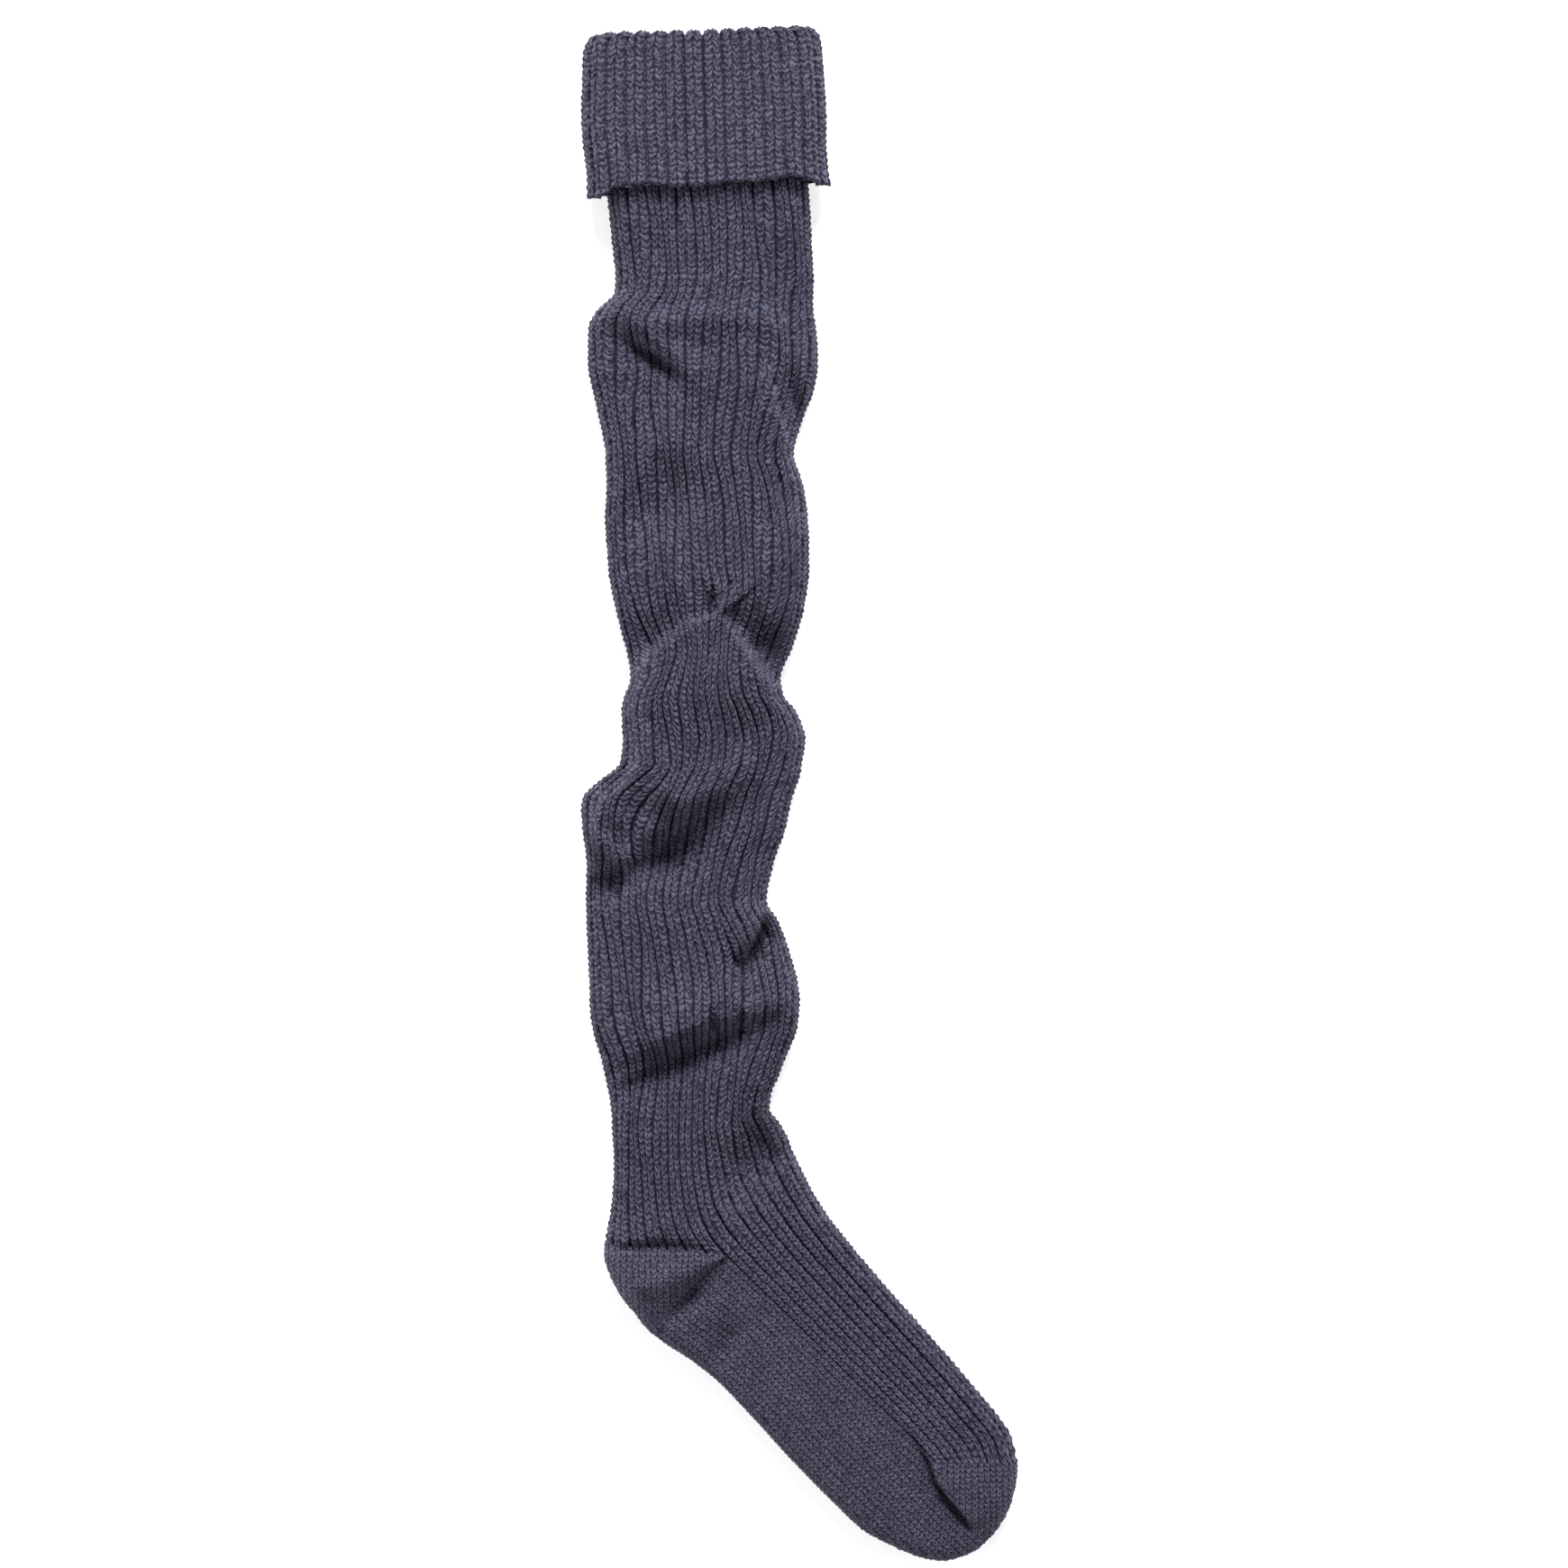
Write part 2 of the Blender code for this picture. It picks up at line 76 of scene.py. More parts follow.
# Sizes of the stitches
COURSE = 0.00275  # from one row of stitches to the next, in the ribs
WALE_SLANT = 0.75  # how far a stitch's legs rise from its middle to its sides, in rows
LEG_START = 0.19  # where across a leg's round profile the middle of its stitch lies
LEG_RELIEF = 0.00110  # of a stitch's legs above the knit between them
GROOVE_DEPTH = 0.0018  # between two ribs
GROOVE_REACH = 0.12  # half the groove's width, as a share of the rib
RIB_ROUND = 0.0005
RIB_SWAY = 0.12  # how far the ribs stray sideways, in ribs
FINE_COURSE = 0.00235  # the same for the plain knit of the sole, the heel and the toe
FINE_WALE = 0.0028
FINE_RELIEF = 0.00055
LEG_UNEVEN, FINE_UNEVEN = 0.22, 0.20  # how unlike the stitches are in height, as shares
LEG_HOLLOW = 0.25  # height of a stitch's legs at their ends, as a share
CALM_SHALLOW = 0.75  # how much of a groove's depth goes where the knit is wholly stretched
MOST_GROOVE = 1.7  # the deepest that a groove gets, as a share of its depth
LEAN_ROOM = 3.0  # rows over which the stitches' slant sets in at an end of the knit
SIDE_STEP = 0.07  # from a piece's outer groove to the extra column that its normals need, in ribs

# Where a rib's columns of the mesh stand, as shares of the rib: its groove, then two stitches side by side
RIB_COLUMNS = (0.0, 0.06, 0.125, 0.25, 0.375, 0.44, 0.50, 0.56, 0.625, 0.75, 0.875, 0.94)
COARSE_COLUMNS = (0.0, 0.10, 0.20, 0.35, 0.50, 0.65, 0.80, 0.90)
FINE_MESH, COARSE_MESH = (RIB_COLUMNS, 4), (COARSE_COLUMNS, 3)  # with lines for each row of stitches

# Leg sections: down, middle, back, front, thick, as the solids have them
LEG_SECTIONS = (
    (0.000, -0.004, 0.562, 0.558, 0.80), (0.061, 0.009, 0.554, 0.540, 0.85),
    (0.124, 0.022, 0.502, 0.502, 0.95), (0.157, 0.038, 0.498, 0.498, 1.00),
    (0.198, 0.045, 0.482, 0.505, 1.00), (0.211, 0.036, 0.480, 0.512, 1.00),
    (0.225, 0.018, 0.546, 0.530, 1.05), (0.240, 0.004, 0.576, 0.558, 1.10),
    (0.269, -0.004, 0.571, 0.576, 1.10), (0.292, -0.009, 0.540, 0.558, 1.05),
    (0.312, -0.013, 0.509, 0.513, 1.00), (0.344, -0.018, 0.469, 0.469, 1.00),
    (0.370, 0.000, 0.482, 0.500, 1.00), (0.401, 0.018, 0.507, 0.505, 1.00),
    (0.438, 0.027, 0.500, 0.500, 1.00), (0.475, 0.031, 0.460, 0.464, 1.05),
    (0.501, 0.031, 0.420, 0.415, 1.10), (0.528, 0.013, 0.375, 0.371, 1.20),
    (0.541, 0.013, 0.402, 0.384, 1.20), (0.557, 0.031, 0.438, 0.438, 1.15),
    (0.579, 0.049, 0.451, 0.460, 1.10), (0.597, 0.040, 0.455, 0.451, 1.10),
    (0.612, 0.000, 0.518, 0.473, 1.10), (0.626, -0.036, 0.565, 0.478, 1.10),
    (0.648, -0.067, 0.536, 0.482, 1.10), (0.681, -0.103, 0.478, 0.451, 1.00),
    (0.711, -0.125, 0.460, 0.440, 1.00), (0.728, -0.103, 0.478, 0.478, 1.05),
    (0.746, -0.080, 0.496, 0.498, 1.05), (0.792, -0.045, 0.520, 0.525, 1.15),
    (0.815, -0.045, 0.507, 0.513, 1.10), (0.835, -0.049, 0.469, 0.473, 1.00),
    (0.852, -0.054, 0.438, 0.438, 1.00), (0.882, -0.054, 0.406, 0.397, 1.00),
    (0.899, -0.056, 0.397, 0.400, 1.00), (0.925, -0.052, 0.394, 0.472, 0.95),
    (0.962, -0.022, 0.434, 0.549, 0.95), (0.985, 0.040, 0.517, 0.566, 0.98),
)
ANKLE_MIDDLE = 0.112
ANKLE_THICK = 1.00

# How a leg section turns: down, share of the cuff's tilt, share of the ankle's turn
LEG_TURNS = (
    (0.000, 1.00, 0.00), (0.130, 1.00, 0.00), (0.200, 0.00, 0.00), (0.850, 0.00, 0.00),
    (0.882, 0.00, 0.23), (0.925, 0.00, 0.52), (0.962, 0.00, 0.76), (1.000, 0.00, 1.00),
)

# Foot sections: along, sole, instep, lead, thin
FOOT_SECTIONS = (
    (0.00, 0.586, 0.590, 0.000, 0.00), (0.08, 0.569, 0.548, 0.000, 0.25),
    (0.18, 0.538, 0.514, 0.000, 0.60), (0.31, 0.519, 0.490, 0.000, 0.90),
    (0.49, 0.529, 0.462, 0.031, 1.00), (0.67, 0.543, 0.440, 0.074, 1.00),
    (0.86, 0.548, 0.405, 0.144, 1.00), (0.94, 0.548, 0.381, 0.178, 1.00),
    (1.00, 0.543, 0.298, 0.212, 1.00),
)
HEEL_TURNS = ((0.00, 0.0), (0.14, 0.5), (0.35, -0.1), (0.60, -0.6), (0.75, -1.0), (0.90, -0.4), (1.00, 0.0))
TOE_TURNS = (
    (0.00, 0.00), (0.11, -0.15), (0.20, 0.05), (0.30, 0.55), (0.40, 0.95), (0.50, 1.00),
    (0.60, 0.75), (0.72, 0.42), (0.86, 0.10), (1.00, 0.00),
)

# The photograph looks straight down, so a place in it is a place in plan
PIXEL = 0.00041  # metres across one of its pixels
CUFF_TOP_PIXEL = (780.0, 37.0)

# Folds of the upper face. Each runs through places in the photograph with its rise there in millimetres,
# and falls away over its left and right reach in millimetres, seen along its way.
Fold = namedtuple("Fold", "left right spots")
FOLDS = (
    # The fold below the turned cuff: its outer bulge, the tuck beside it and the brow across the leg
    Fold(9, 7, ((650, 352, 2), (672, 346, 5), (694, 350, 6), (716, 366, 7), (744, 396, 6), (768, 428, 3),
        (785, 465, 0))),
    Fold(3.5, 5, ((692, 378, -1), (708, 386, -6), (728, 399, -11), (748, 415, -8), (760, 431, -3),
        (770, 447, 0))),
    Fold(5, 5, ((724, 352, 1), (750, 355, 2.2), (795, 353, 2.6), (835, 355, 2.6), (862, 366, 2),
        (876, 395, 0))),
    Fold(4, 9, ((738, 378, -2), (762, 384, -2.4), (790, 386, -1.2), (815, 386, 0))),
    Fold(10, 7, ((842, 262, -1), (862, 300, -4.5), (876, 340, -4), (893, 400, 0))),
    Fold(1.5, 9, ((852, 400, 0), (855, 430, 5), (862, 462, 8), (874, 492, 9), (888, 524, 7),
        (898, 570, 0))),
    Fold(5, 3, ((876, 405, 0), (882, 450, -6), (887, 485, -6), (893, 512, 0))),
    Fold(7, 7, ((902, 356, 1), (902, 400, 3), (894, 440, 1), (890, 470, 0))),
    # The long smooth part above the knee
    Fold(6, 6, ((668, 430, 1), (676, 500, 3), (678, 560, 2), (684, 600, 0))),
    Fold(13, 12, ((688, 588, -2), (722, 566, -6.5), (758, 550, -4), (800, 536, 0))),
    Fold(12, 10, ((700, 470, 0), (735, 490, 4), (775, 505, 2), (800, 500, 0))),
    Fold(14, 14, ((730, 610, 2), (745, 640, 4), (735, 670, 2))),
    Fold(8, 9, ((890, 530, 1), (882, 580, 4), (862, 620, 4), (846, 640, 2))),
    # The arch at the knee: the bulge below hangs over the narrow tube above
    Fold(2.6, 34, ((690, 764, 3.5), (716, 740, 6.5), (742, 718, 8), (768, 698, 8.5), (796, 684, 7.5),
        (810, 702, 8), (824, 722, 9), (842, 742, 9), (860, 760, 6.5), (876, 780, 3))),
    Fold(12, 3, ((690, 742, -3), (712, 720, -6), (738, 700, -4.5), (760, 684, -1.5), (778, 674, 0))),
    Fold(12, 4, ((816, 676, 0), (828, 698, -6), (842, 718, -12), (860, 742, -13), (874, 762, -6))),
    Fold(2.5, 2.5, ((795, 630, 0), (801, 655, 2.5), (800, 676, 3), (792, 700, 1))),
    Fold(2.0, 2.0, ((812, 640, 0), (815, 662, -1.5), (812, 684, -2.5), (818, 700, 0))),
    Fold(22, 22, ((752, 800, 4), (758, 840, 5))),
    # The pouch on the back and the wide valley beside it
    Fold(9, 7, ((712, 800, 2), (720, 840, 3.5), (734, 876, 6), (758, 888, 9), (788, 878, 6),
        (826, 852, 2))),
    Fold(6, 6, ((704, 830, 1), (702, 868, 3), (692, 905, 3))),
    Fold(5, 3, ((720, 800, 0), (715, 835, 2), (708, 856, 3), (692, 874, 4), (676, 889, 5), (664, 906, 4),
        (658, 930, 0))),
    Fold(2.5, 2.5, ((692, 840, -3), (692, 856, -8), (684, 868, -4), (668, 876, 0))),
    Fold(5, 3, ((648, 920, 4), (663, 933, 5), (682, 946, 6), (700, 966, 4), (712, 1000, 0))),
    Fold(4, 8, ((654, 985, -4), (678, 976, -10), (700, 966, -7), (722, 955, -5))),
    Fold(7, 11, ((720, 966, -4), (740, 948, -15), (760, 932, -14), (788, 910, -6), (818, 888, -2),
        (842, 870, 0))),
    Fold(6, 6, ((668, 888, 2), (672, 905, 4), (674, 925, 3))),
    Fold(8, 8, ((885, 800, 3), (880, 850, 2), (868, 900, 3), (858, 960, 0))),
    # The tuck on the front and the pouch below it
    Fold(1.5, 9, ((862, 955, 1), (850, 1000, 5), (841, 1022, 8), (832, 1046, 9), (822, 1072, 2),
        (818, 1085, 0))),
    Fold(6, 4, ((858, 1010, -2), (848, 1034, -10), (837, 1054, -14), (824, 1072, -5), (816, 1088, 0))),
    Fold(1.6, 1.6, ((806, 1026, 0), (809, 1044, -4), (816, 1066, -5), (820, 1080, 0))),
    Fold(6, 6, ((866, 1040, 0), (878, 1080, 4), (880, 1120, 3), (866, 1160, 0))),
    # The brow above the shin
    Fold(15, 4, ((655, 1176, 1), (686, 1174, 3), (716, 1160, 6), (748, 1144, 8.5), (782, 1130, 8.5),
        (820, 1122, 5), (852, 1116, 3), (882, 1110, 1))),
    Fold(3, 7, ((690, 1212, -2), (716, 1196, -6), (756, 1174, -12), (800, 1154, -10), (840, 1139, -4),
        (866, 1130, -1))),
    Fold(2.5, 2.5, ((789, 1112, 0), (793, 1135, -5), (797, 1156, -3), (800, 1170, 0))),
    Fold(2.5, 2.5, ((818, 1110, 0), (821, 1132, -4), (826, 1156, 0))),
    Fold(6, 6, ((836, 1205, 0), (838, 1240, -3), (838, 1270, -3), (836, 1300, 0))),
    Fold(13, 9, ((800, 1345, 0), (818, 1325, -6), (835, 1300, -12), (852, 1278, -10), (870, 1262, -2))),
    # The ankle
    Fold(5, 4, ((858, 1225, 1), (868, 1265, 4), (878, 1300, 3), (890, 1330, 0))),
    Fold(1.8, 1.8, ((664, 1384, 0), (700, 1385, -3), (740, 1380, -4), (770, 1383, -2.5), (792, 1391, 0))),
    Fold(8, 3, ((672, 1372, 1), (700, 1372, 2), (740, 1366, 2), (780, 1370, 1))),
    # The heel, the foot and the toe
    Fold(6, 6, ((690, 1400, 2), (705, 1425, 4), (735, 1420, 3.5), (770, 1400, 0))),
    Fold(4, 5, ((790, 1404, 0), (780, 1424, -3), (769, 1440, -7), (750, 1457, -4), (736, 1468, 0))),
    Fold(6, 7, ((824, 1460, 0), (813, 1482, -3.5), (802, 1502, -4), (790, 1520, -1))),
    Fold(15, 1.0, ((1008, 1578, 0), (1022, 1600, 2), (1034, 1620, 4), (1041, 1641, 5), (1056, 1661, 5),
        (1076, 1684, 4), (1086, 1698, 0))),
    Fold(1.0, 2.4, ((1006, 1580, 0), (1019, 1603, -1.5), (1031, 1622, -3), (1038, 1645, -3.5),
        (1053, 1666, -4), (1072, 1689, -4), (1080, 1702, 0))),
)

# Places where the knit is stretched and its grooves are shallow: photograph place, reaches, share
Calm = namedtuple("Calm", "px py wide high share")
CALMS = (
    Calm(800, 270, 75, 75, 0.6), Calm(790, 620, 70, 60, 0.4), Calm(790, 335, 60, 14, 0.5),
    Calm(800, 400, 80, 32, -0.5), Calm(700, 400, 40, 50, -0.4), Calm(770, 1030, 60, 45, 0.3),
)

# Sideways drags of the knit in millimetres: photograph place, reach, drag to +X
Drag = namedtuple("Drag", "px py reach east")
DRAGS = (
    Drag(708, 405, 12, 4.0), Drag(730, 722, 15, 5.0), Drag(842, 716, 14, -4.5), Drag(705, 1180, 18, 4.5),
    Drag(722, 866, 13, 4.5), Drag(700, 925, 11, -2.5), Drag(800, 655, 9, 2.5), Drag(812, 1060, 9, 2.5),
)

# The stitches in the material: how far they stray, in stitches, how unlike they are, the painted shade of
# the grooves between ribs, and the range of painted light that goes from the painted shade colour to the
# yarn's own
STRAY_SCALE = 320.0
STRAY_ACROSS = 0.21
STRAY_ALONG = 0.38
LEG_SIZES = (0.62, 1.20)
GROOVE_SHADE = 1.0
PAINTED_LIGHT_RANGE = (0.08, 0.72)

# Colours, as linear red, green and blue
YARN_LIGHT = (0.156, 0.153, 0.216)
YARN_DARK = (0.056, 0.056, 0.091)
# painted shade, put between the stitches, in the grooves, under the hem and on the inner sides
YARN_PAINTED_SHADE = (0.011, 0.010, 0.026)
FLOOR_WHITE = (0.90, 0.90, 0.905)
WHITE = (1.0, 1.0, 1.0, 1.0)

# The camera, and the lights' names, places, sizes and powers
CAMERA_PLACE = (-0.0071, 0.0056, 1.702)
CAMERA_LENS = 85.0
LIGHTS = (
    ("key_light", (0.15, 2.25, 1.7), 1.2, 106.0),
    ("left_light", (-2.0, -0.4, 0.7), 1.4, 24.0),
    ("right_light", (1.9, 0.2, 0.8), 1.4, 14.0),
)
ROOM_LIGHT = 0.32

FAR = 1.0  # metres, further than any fold
FOLD_FADE = 3.0  # reaches from a fold at which nothing is left of its rise
TINY, NUDGE = 1e-12, 1e-6  # against divisions by zero, and against rounding down

Row = namedtuple("Row", "back middle front lift thick")
Grow = namedtuple("Grow", "side top bottom")
NO_GROW = Grow(0.0, 0.0, 0.0)


def eased(share):
    """Shares from 0 to 1, with a soft start and a soft end."""
    held = np.clip(share, 0.0, 1.0)
    return held * held * (3.0 - 2.0 * held)


def slopes_of(places, values):
    """Slopes at the places of a table that keep a curve through its values from overshooting."""
    steps = np.diff(values) / np.diff(places)
    product = steps[:-1] * steps[1:]
    total = np.where(product > 0.0, steps[:-1] + steps[1:], 1.0)
    inner = np.where(product > 0.0, 2.0 * product / total, 0.0)
    return np.concatenate([steps[:1], inner, steps[-1:]])


def read(table, column, place):
    """The values of one column of a table at places between its rows."""
    places = np.array([row[0] for row in table])
    values = np.array([row[column] for row in table])
    slopes = slopes_of(places, values)
    i = np.clip(np.searchsorted(places, place, side="right") - 1, 0, len(places) - 2)
    span = places[i + 1] - places[i]
    t = np.clip((place - places[i]) / span, 0.0, 1.0)
    start = (1.0 + 2.0 * t) * (1.0 - t) ** 2 * values[i] + t * (1.0 - t) ** 2 * span * slopes[i]
    end = t * t * (3.0 - 2.0 * t) * values[i + 1] - t * t * (1.0 - t) * span * slopes[i + 1]
    return start + end


FOOT_WAY = np.array((cos(radians(FOOT_DROP)), -sin(radians(FOOT_DROP))))
INSTEP_WAY = np.array((-FOOT_WAY[1], FOOT_WAY[0]))
ANKLE_TURN = 90.0 - FOOT_DROP
ANKLE_FRONT = FOOT_SECTIONS[0][2] * FOOT_WIDTH / LEG_WIDTH
LEG_TABLE = LEG_SECTIONS + ((1.0, ANKLE_MIDDLE, HEEL_REACH / LEG_WIDTH, ANKLE_FRONT, ANKLE_THICK),)


def heading(angle):
    """Plan directions at angles in degrees from +X."""
    return np.stack([np.cos(np.radians(angle)), np.sin(np.radians(angle))], axis=-1)


def leg_row(down):
    """The leg's sections at shares of its length."""
    down = np.asarray(down, float)
    middle = np.stack([read(LEG_TABLE, 1, down) * LEG_WIDTH, -down * LEG_LENGTH], axis=-1)
    tilt = CUFF_TILT * read(LEG_TURNS, 1, down)
    ankle = read(LEG_TURNS, 2, down)
    to_back, to_front = read(LEG_TABLE, 2, down) * LEG_WIDTH, read(LEG_TABLE, 3, down) * LEG_WIDTH
    back = middle + heading(180.0 + tilt - HEEL_TILT * ankle) * to_back[..., None]
    front = middle + heading(tilt + ANKLE_TURN * ankle) * to_front[..., None]
    past_hem = (down * LEG_LENGTH - CUFF_DEPTH) / CUFF_DEPTH
    lift = (KNIT_WALL + CLEARANCE) * (1.0 - eased(past_hem * 2.0))
    return Row(back, middle, front, lift, read(LEG_TABLE, 4, down) * LEG_THICKNESS)


HEEL_CORNER = leg_row(1.0).middle
TOE_CORNER = HEEL_CORNER + FOOT_WAY * SOLE_LENGTH


def foot_row(along):
    """The foot's sections at shares of the sole's length."""
    along = np.asarray(along, float)
    middle = HEEL_CORNER + FOOT_WAY * (along * SOLE_LENGTH)[..., None]
    back = middle - INSTEP_WAY * (read(FOOT_SECTIONS, 1, along) * FOOT_WIDTH)[..., None]
    lead = FOOT_WAY * (read(FOOT_SECTIONS, 3, along) * SOLE_LENGTH)[..., None]
    front = middle + lead + INSTEP_WAY * (read(FOOT_SECTIONS, 2, along) * FOOT_WIDTH)[..., None]
    ankle_thick = ANKLE_THICK * LEG_THICKNESS
    thick = ankle_thick + (FOOT_THICKNESS - ankle_thick) * read(FOOT_SECTIONS, 4, along)
    return Row(back, middle, front, np.zeros_like(along), thick)


def in_plan(px, py):
    """The plan place that the photograph shows at a pixel."""
    return np.array(((px - CUFF_TOP_PIXEL[0]) * PIXEL, (CUFF_TOP_PIXEL[1] - py) * PIXEL))


def one_fold(fold, spots):
    """How far one fold raises the upper face at places in plan."""
    nearest = np.full(spots.shape[:-1], FAR)
    rise = np.zeros(spots.shape[:-1])
    side = np.zeros(spots.shape[:-1])
    for start, end in zip(fold.spots, fold.spots[1:]):
        foot, way = in_plan(*start[:2]), in_plan(*end[:2]) - in_plan(*start[:2])
        offset = spots - foot
        t = np.clip(offset @ way / (way @ way), 0.0, 1.0)
        apart = offset - t[..., None] * way
        distance = np.linalg.norm(apart, axis=-1)
        across = (way[0] * apart[..., 1] - way[1] * apart[..., 0]) / np.linalg.norm(way)
        closer = distance < nearest
        nearest = np.where(closer, distance, nearest)
        rise = np.where(closer, start[2] + (end[2] - start[2]) * t, rise)
        side = np.where(closer, across / np.maximum(distance, TINY), side)
    reach = (fold.left * (1.0 + side) + fold.right * (1.0 - side)) / 2000.0
    return rise / 1000.0 * np.exp(-((nearest / reach) ** 2))


def fold_rise(spots):
    """How far the folds raise the upper face at places in plan."""
    rise = np.zeros(spots.shape[:-1])
    for fold in FOLDS:
        reach = max(fold.left, fold.right) * FOLD_FADE / 1000.0
        corners = np.array([in_plan(px, py) for px, py, _ in fold.spots])
        near = np.all((spots > corners.min(0) - reach) & (spots < corners.max(0) + reach), axis=-1)
        rise[near] += one_fold(fold, spots[near])
    return rise


def calm_at(spots):
    """How far the grooves are stretched open, from 0 to 1."""
    calm = np.zeros(spots.shape[:-1])
    for place in CALMS:
        offset = (spots - in_plan(place.px, place.py)) / (np.array((place.wide, place.high)) * PIXEL)
        calm += place.share * np.exp(-np.sum(offset**2, axis=-1))
    return np.clip(calm, -0.5, 1.0)


def dragged(spots, weight):
    """Places in plan after the sideways drags."""
    moved = spots.copy()
    for drag in DRAGS:
        offset = (spots - in_plan(drag.px, drag.py)) / (drag.reach / 1000.0)
        pull = weight * np.exp(-np.sum(offset**2, axis=-1))
        moved[..., 0] += pull * drag.east / 1000.0
    return moved


def section_points(row, share, grow=NO_GROW):
    """Points of sections, at shares of the way round: flat below, round at the edges, crowned above."""
    quarter = (share % 1.0) * 4.0
    at_back = (quarter <= 1.0) | (quarter >= 3.0)
    edge = row.back if row.front is None else np.where(at_back[..., None], row.back, row.front)
    part = 1.0 - np.abs(quarter % 2.0 - 1.0)
    half = (row.thick + grow.top + grow.bottom) / 2.0
    reach = edge - row.middle
    length = np.linalg.norm(reach, axis=-1)
    width = length + grow.side
    bend = pi / 2.0 * half
    travel = part * (bend + width - half)
    angle = np.minimum(travel / half, pi / 2.0)
    inward = half * (1.0 - np.cos(angle)) + np.maximum(travel - bend, 0.0)
    rise = half * np.sin(angle)
    spot = row.middle + reach / length[..., None] * (width - inward)[..., None]
    level = row.lift - grow.bottom + half
    weight = np.where(quarter > 2.0, 0.0, (rise / half) ** 2)
    spot = dragged(spot, weight)
    crown = CROWN * row.thick * (1.0 - (1.0 - inward / width) ** 2)
    lifted = (crown + fold_rise(spot)) * weight
    height = np.where(quarter > 2.0, level - rise, level + rise + lifted)
    return np.concatenate([spot, height[..., None]], axis=-1)


def outward_normals(points, up, judged=slice(None)):
    """Unit normals of a grid of points, whose judged rows face up or down on the whole."""
    normal = np.cross(np.gradient(points, axis=0), np.gradient(points, axis=1))
    normal /= np.maximum(np.linalg.norm(normal, axis=-1, keepdims=True), TINY)
    return normal if (np.mean(normal[judged][..., 2]) > 0.0) == up else -normal


def rib_shares(first_rib, last_rib, columns):
    """Shares of a rib's mesh columns, with each column's place within its rib."""
    ribs = [(rib + part, part) for rib in range(first_rib, last_rib) for part in columns]
    ribs.append((last_rib, 0.0))
    ribs = [(ribs[0][0] - SIDE_STEP, 1.0 - SIDE_STEP)] + ribs + [(last_rib + SIDE_STEP, SIDE_STEP)]
    found = np.array(ribs)
    return found[:, 0] / RIBS_AROUND, found[:, 1]


def rib_grid(first_rib, last_rib, count, mesh):
    """Shares around, places in a rib, and counts of rows before and after the stitches slant."""
    shares, within = rib_shares(first_rib, last_rib, mesh[0])
    lines = np.arange(count * mesh[1] + 1) / mesh[1]
    course, share = np.meshgrid(lines, shares, indexing="ij")
    inside = np.repeat(within[None, :], len(lines), axis=0)
    return share, inside, course, leant(course, count, inside)


def raised(points, normals, height, stitches):
    """Points raised along their normals, and their stitches, without the extra column on either side."""
    return (points + normals * height[..., None])[:, 1:-1], stitches[:, 1:-1]


def leant(course, count, within):
    """Rows of stitches moved so that a stitch's legs slant, but for the first and the last rows."""
    room = eased(np.minimum(course, count - course) / LEAN_ROOM)
    return np.clip(course - WALE_SLANT * stitch_lean(within) * room, 0.0, count)


def stitch_lean(within):
    """How far from its middle a place in a rib lies in its stitch: 0 in the middle, 1 at the sides."""
    return np.abs(2.0 * ((2.0 * within) % 1.0) - 1.0)


def groove_share(within):
    """How deep in the groove between two ribs a place lies: 1 at the bottom, 0 outside."""
    return 1.0 - eased(np.minimum(within, 1.0 - within) / GROOVE_REACH)


SCATTER = (127.1, 311.7, 74.7, 43758.5453)  # large odd factors that scatter whole numbers


def uneven(first, second, seed):
    """Steady pseudo-random numbers from -1 to 1 for pairs of whole numbers."""
    mixed = np.sin(first * SCATTER[0] + second * SCATTER[1] + seed * SCATTER[2]) * SCATTER[3]
    return 2.0 * (mixed - np.floor(mixed)) - 1.0


# Waves that the ribs and the grooves' depths follow: turns down the leg or a row, turns around, start
SWAYS = ((21.0, 40.0, 0.0), (47.0, -63.0, 1.3))
SLOW_LIVES, QUICK_LIVES = ((0.11, 2.3, 0.0), (0.047, -1.1, 0.7)), ((0.31, 5.1, 0.0),)
LIFE_MEAN, LIFE_SLOW, LIFE_QUICK = 0.85, 0.16, 0.10


def waves(table, first, second):
    """The sum of the waves of a table at two counts."""
    return sum(np.sin(a * first + b * second + begin) for a, b, begin in table)


def wandered(share, down):
    """Shares of the way round with the ribs a little uneven, but for the edges and the leg's ends."""
    held = np.abs(np.sin(4.0 * pi * share)) * eased((1.0 - down) * 8.0)
    return share + RIB_SWAY / RIBS_AROUND * held * waves(SWAYS, down, share)


def groove_life(rib, course):
    """How deep each groove is along its length, around 1."""
    slow, quick = waves(SLOW_LIVES, course, rib), waves(QUICK_LIVES, course, rib)
    return LIFE_MEAN + LIFE_SLOW * slow + LIFE_QUICK * quick


def leg_profile(lean):
    """The round profile of a stitch's legs: lower where they meet, and lowest beside the next stitch."""
    return np.sin(pi * (LEG_START + (1.0 - LEG_START) * lean))


def rib_height(within, course, rib, calm, sides_lower=RIB_ROUND):
    """Height of ribbed knit and how deep its grooves are, for places in a rib and rows of stitches."""
    leg = leg_profile(stitch_lean(within))
    bump = 0.5 + 0.5 * np.cos(2.0 * pi * course)
    wale = rib * 2 + (within >= 0.5)
    size = 1.0 + LEG_UNEVEN * uneven(wale, np.floor(course + 0.5), 1.0)
    stitch = LEG_RELIEF * leg * (LEG_HOLLOW + (1.0 - LEG_HOLLOW) * bump) * size
    life = groove_life(rib + (within > 0.5), course)
    depth = np.clip((1.0 - CALM_SHALLOW * calm) * life, 0.0, MOST_GROOVE)
    rounding = sides_lower * (2.0 * within - 1.0) ** 2
    height = stitch - GROOVE_DEPTH * groove_share(within) * depth - rounding - 0.5 * LEG_RELIEF
    return height, depth


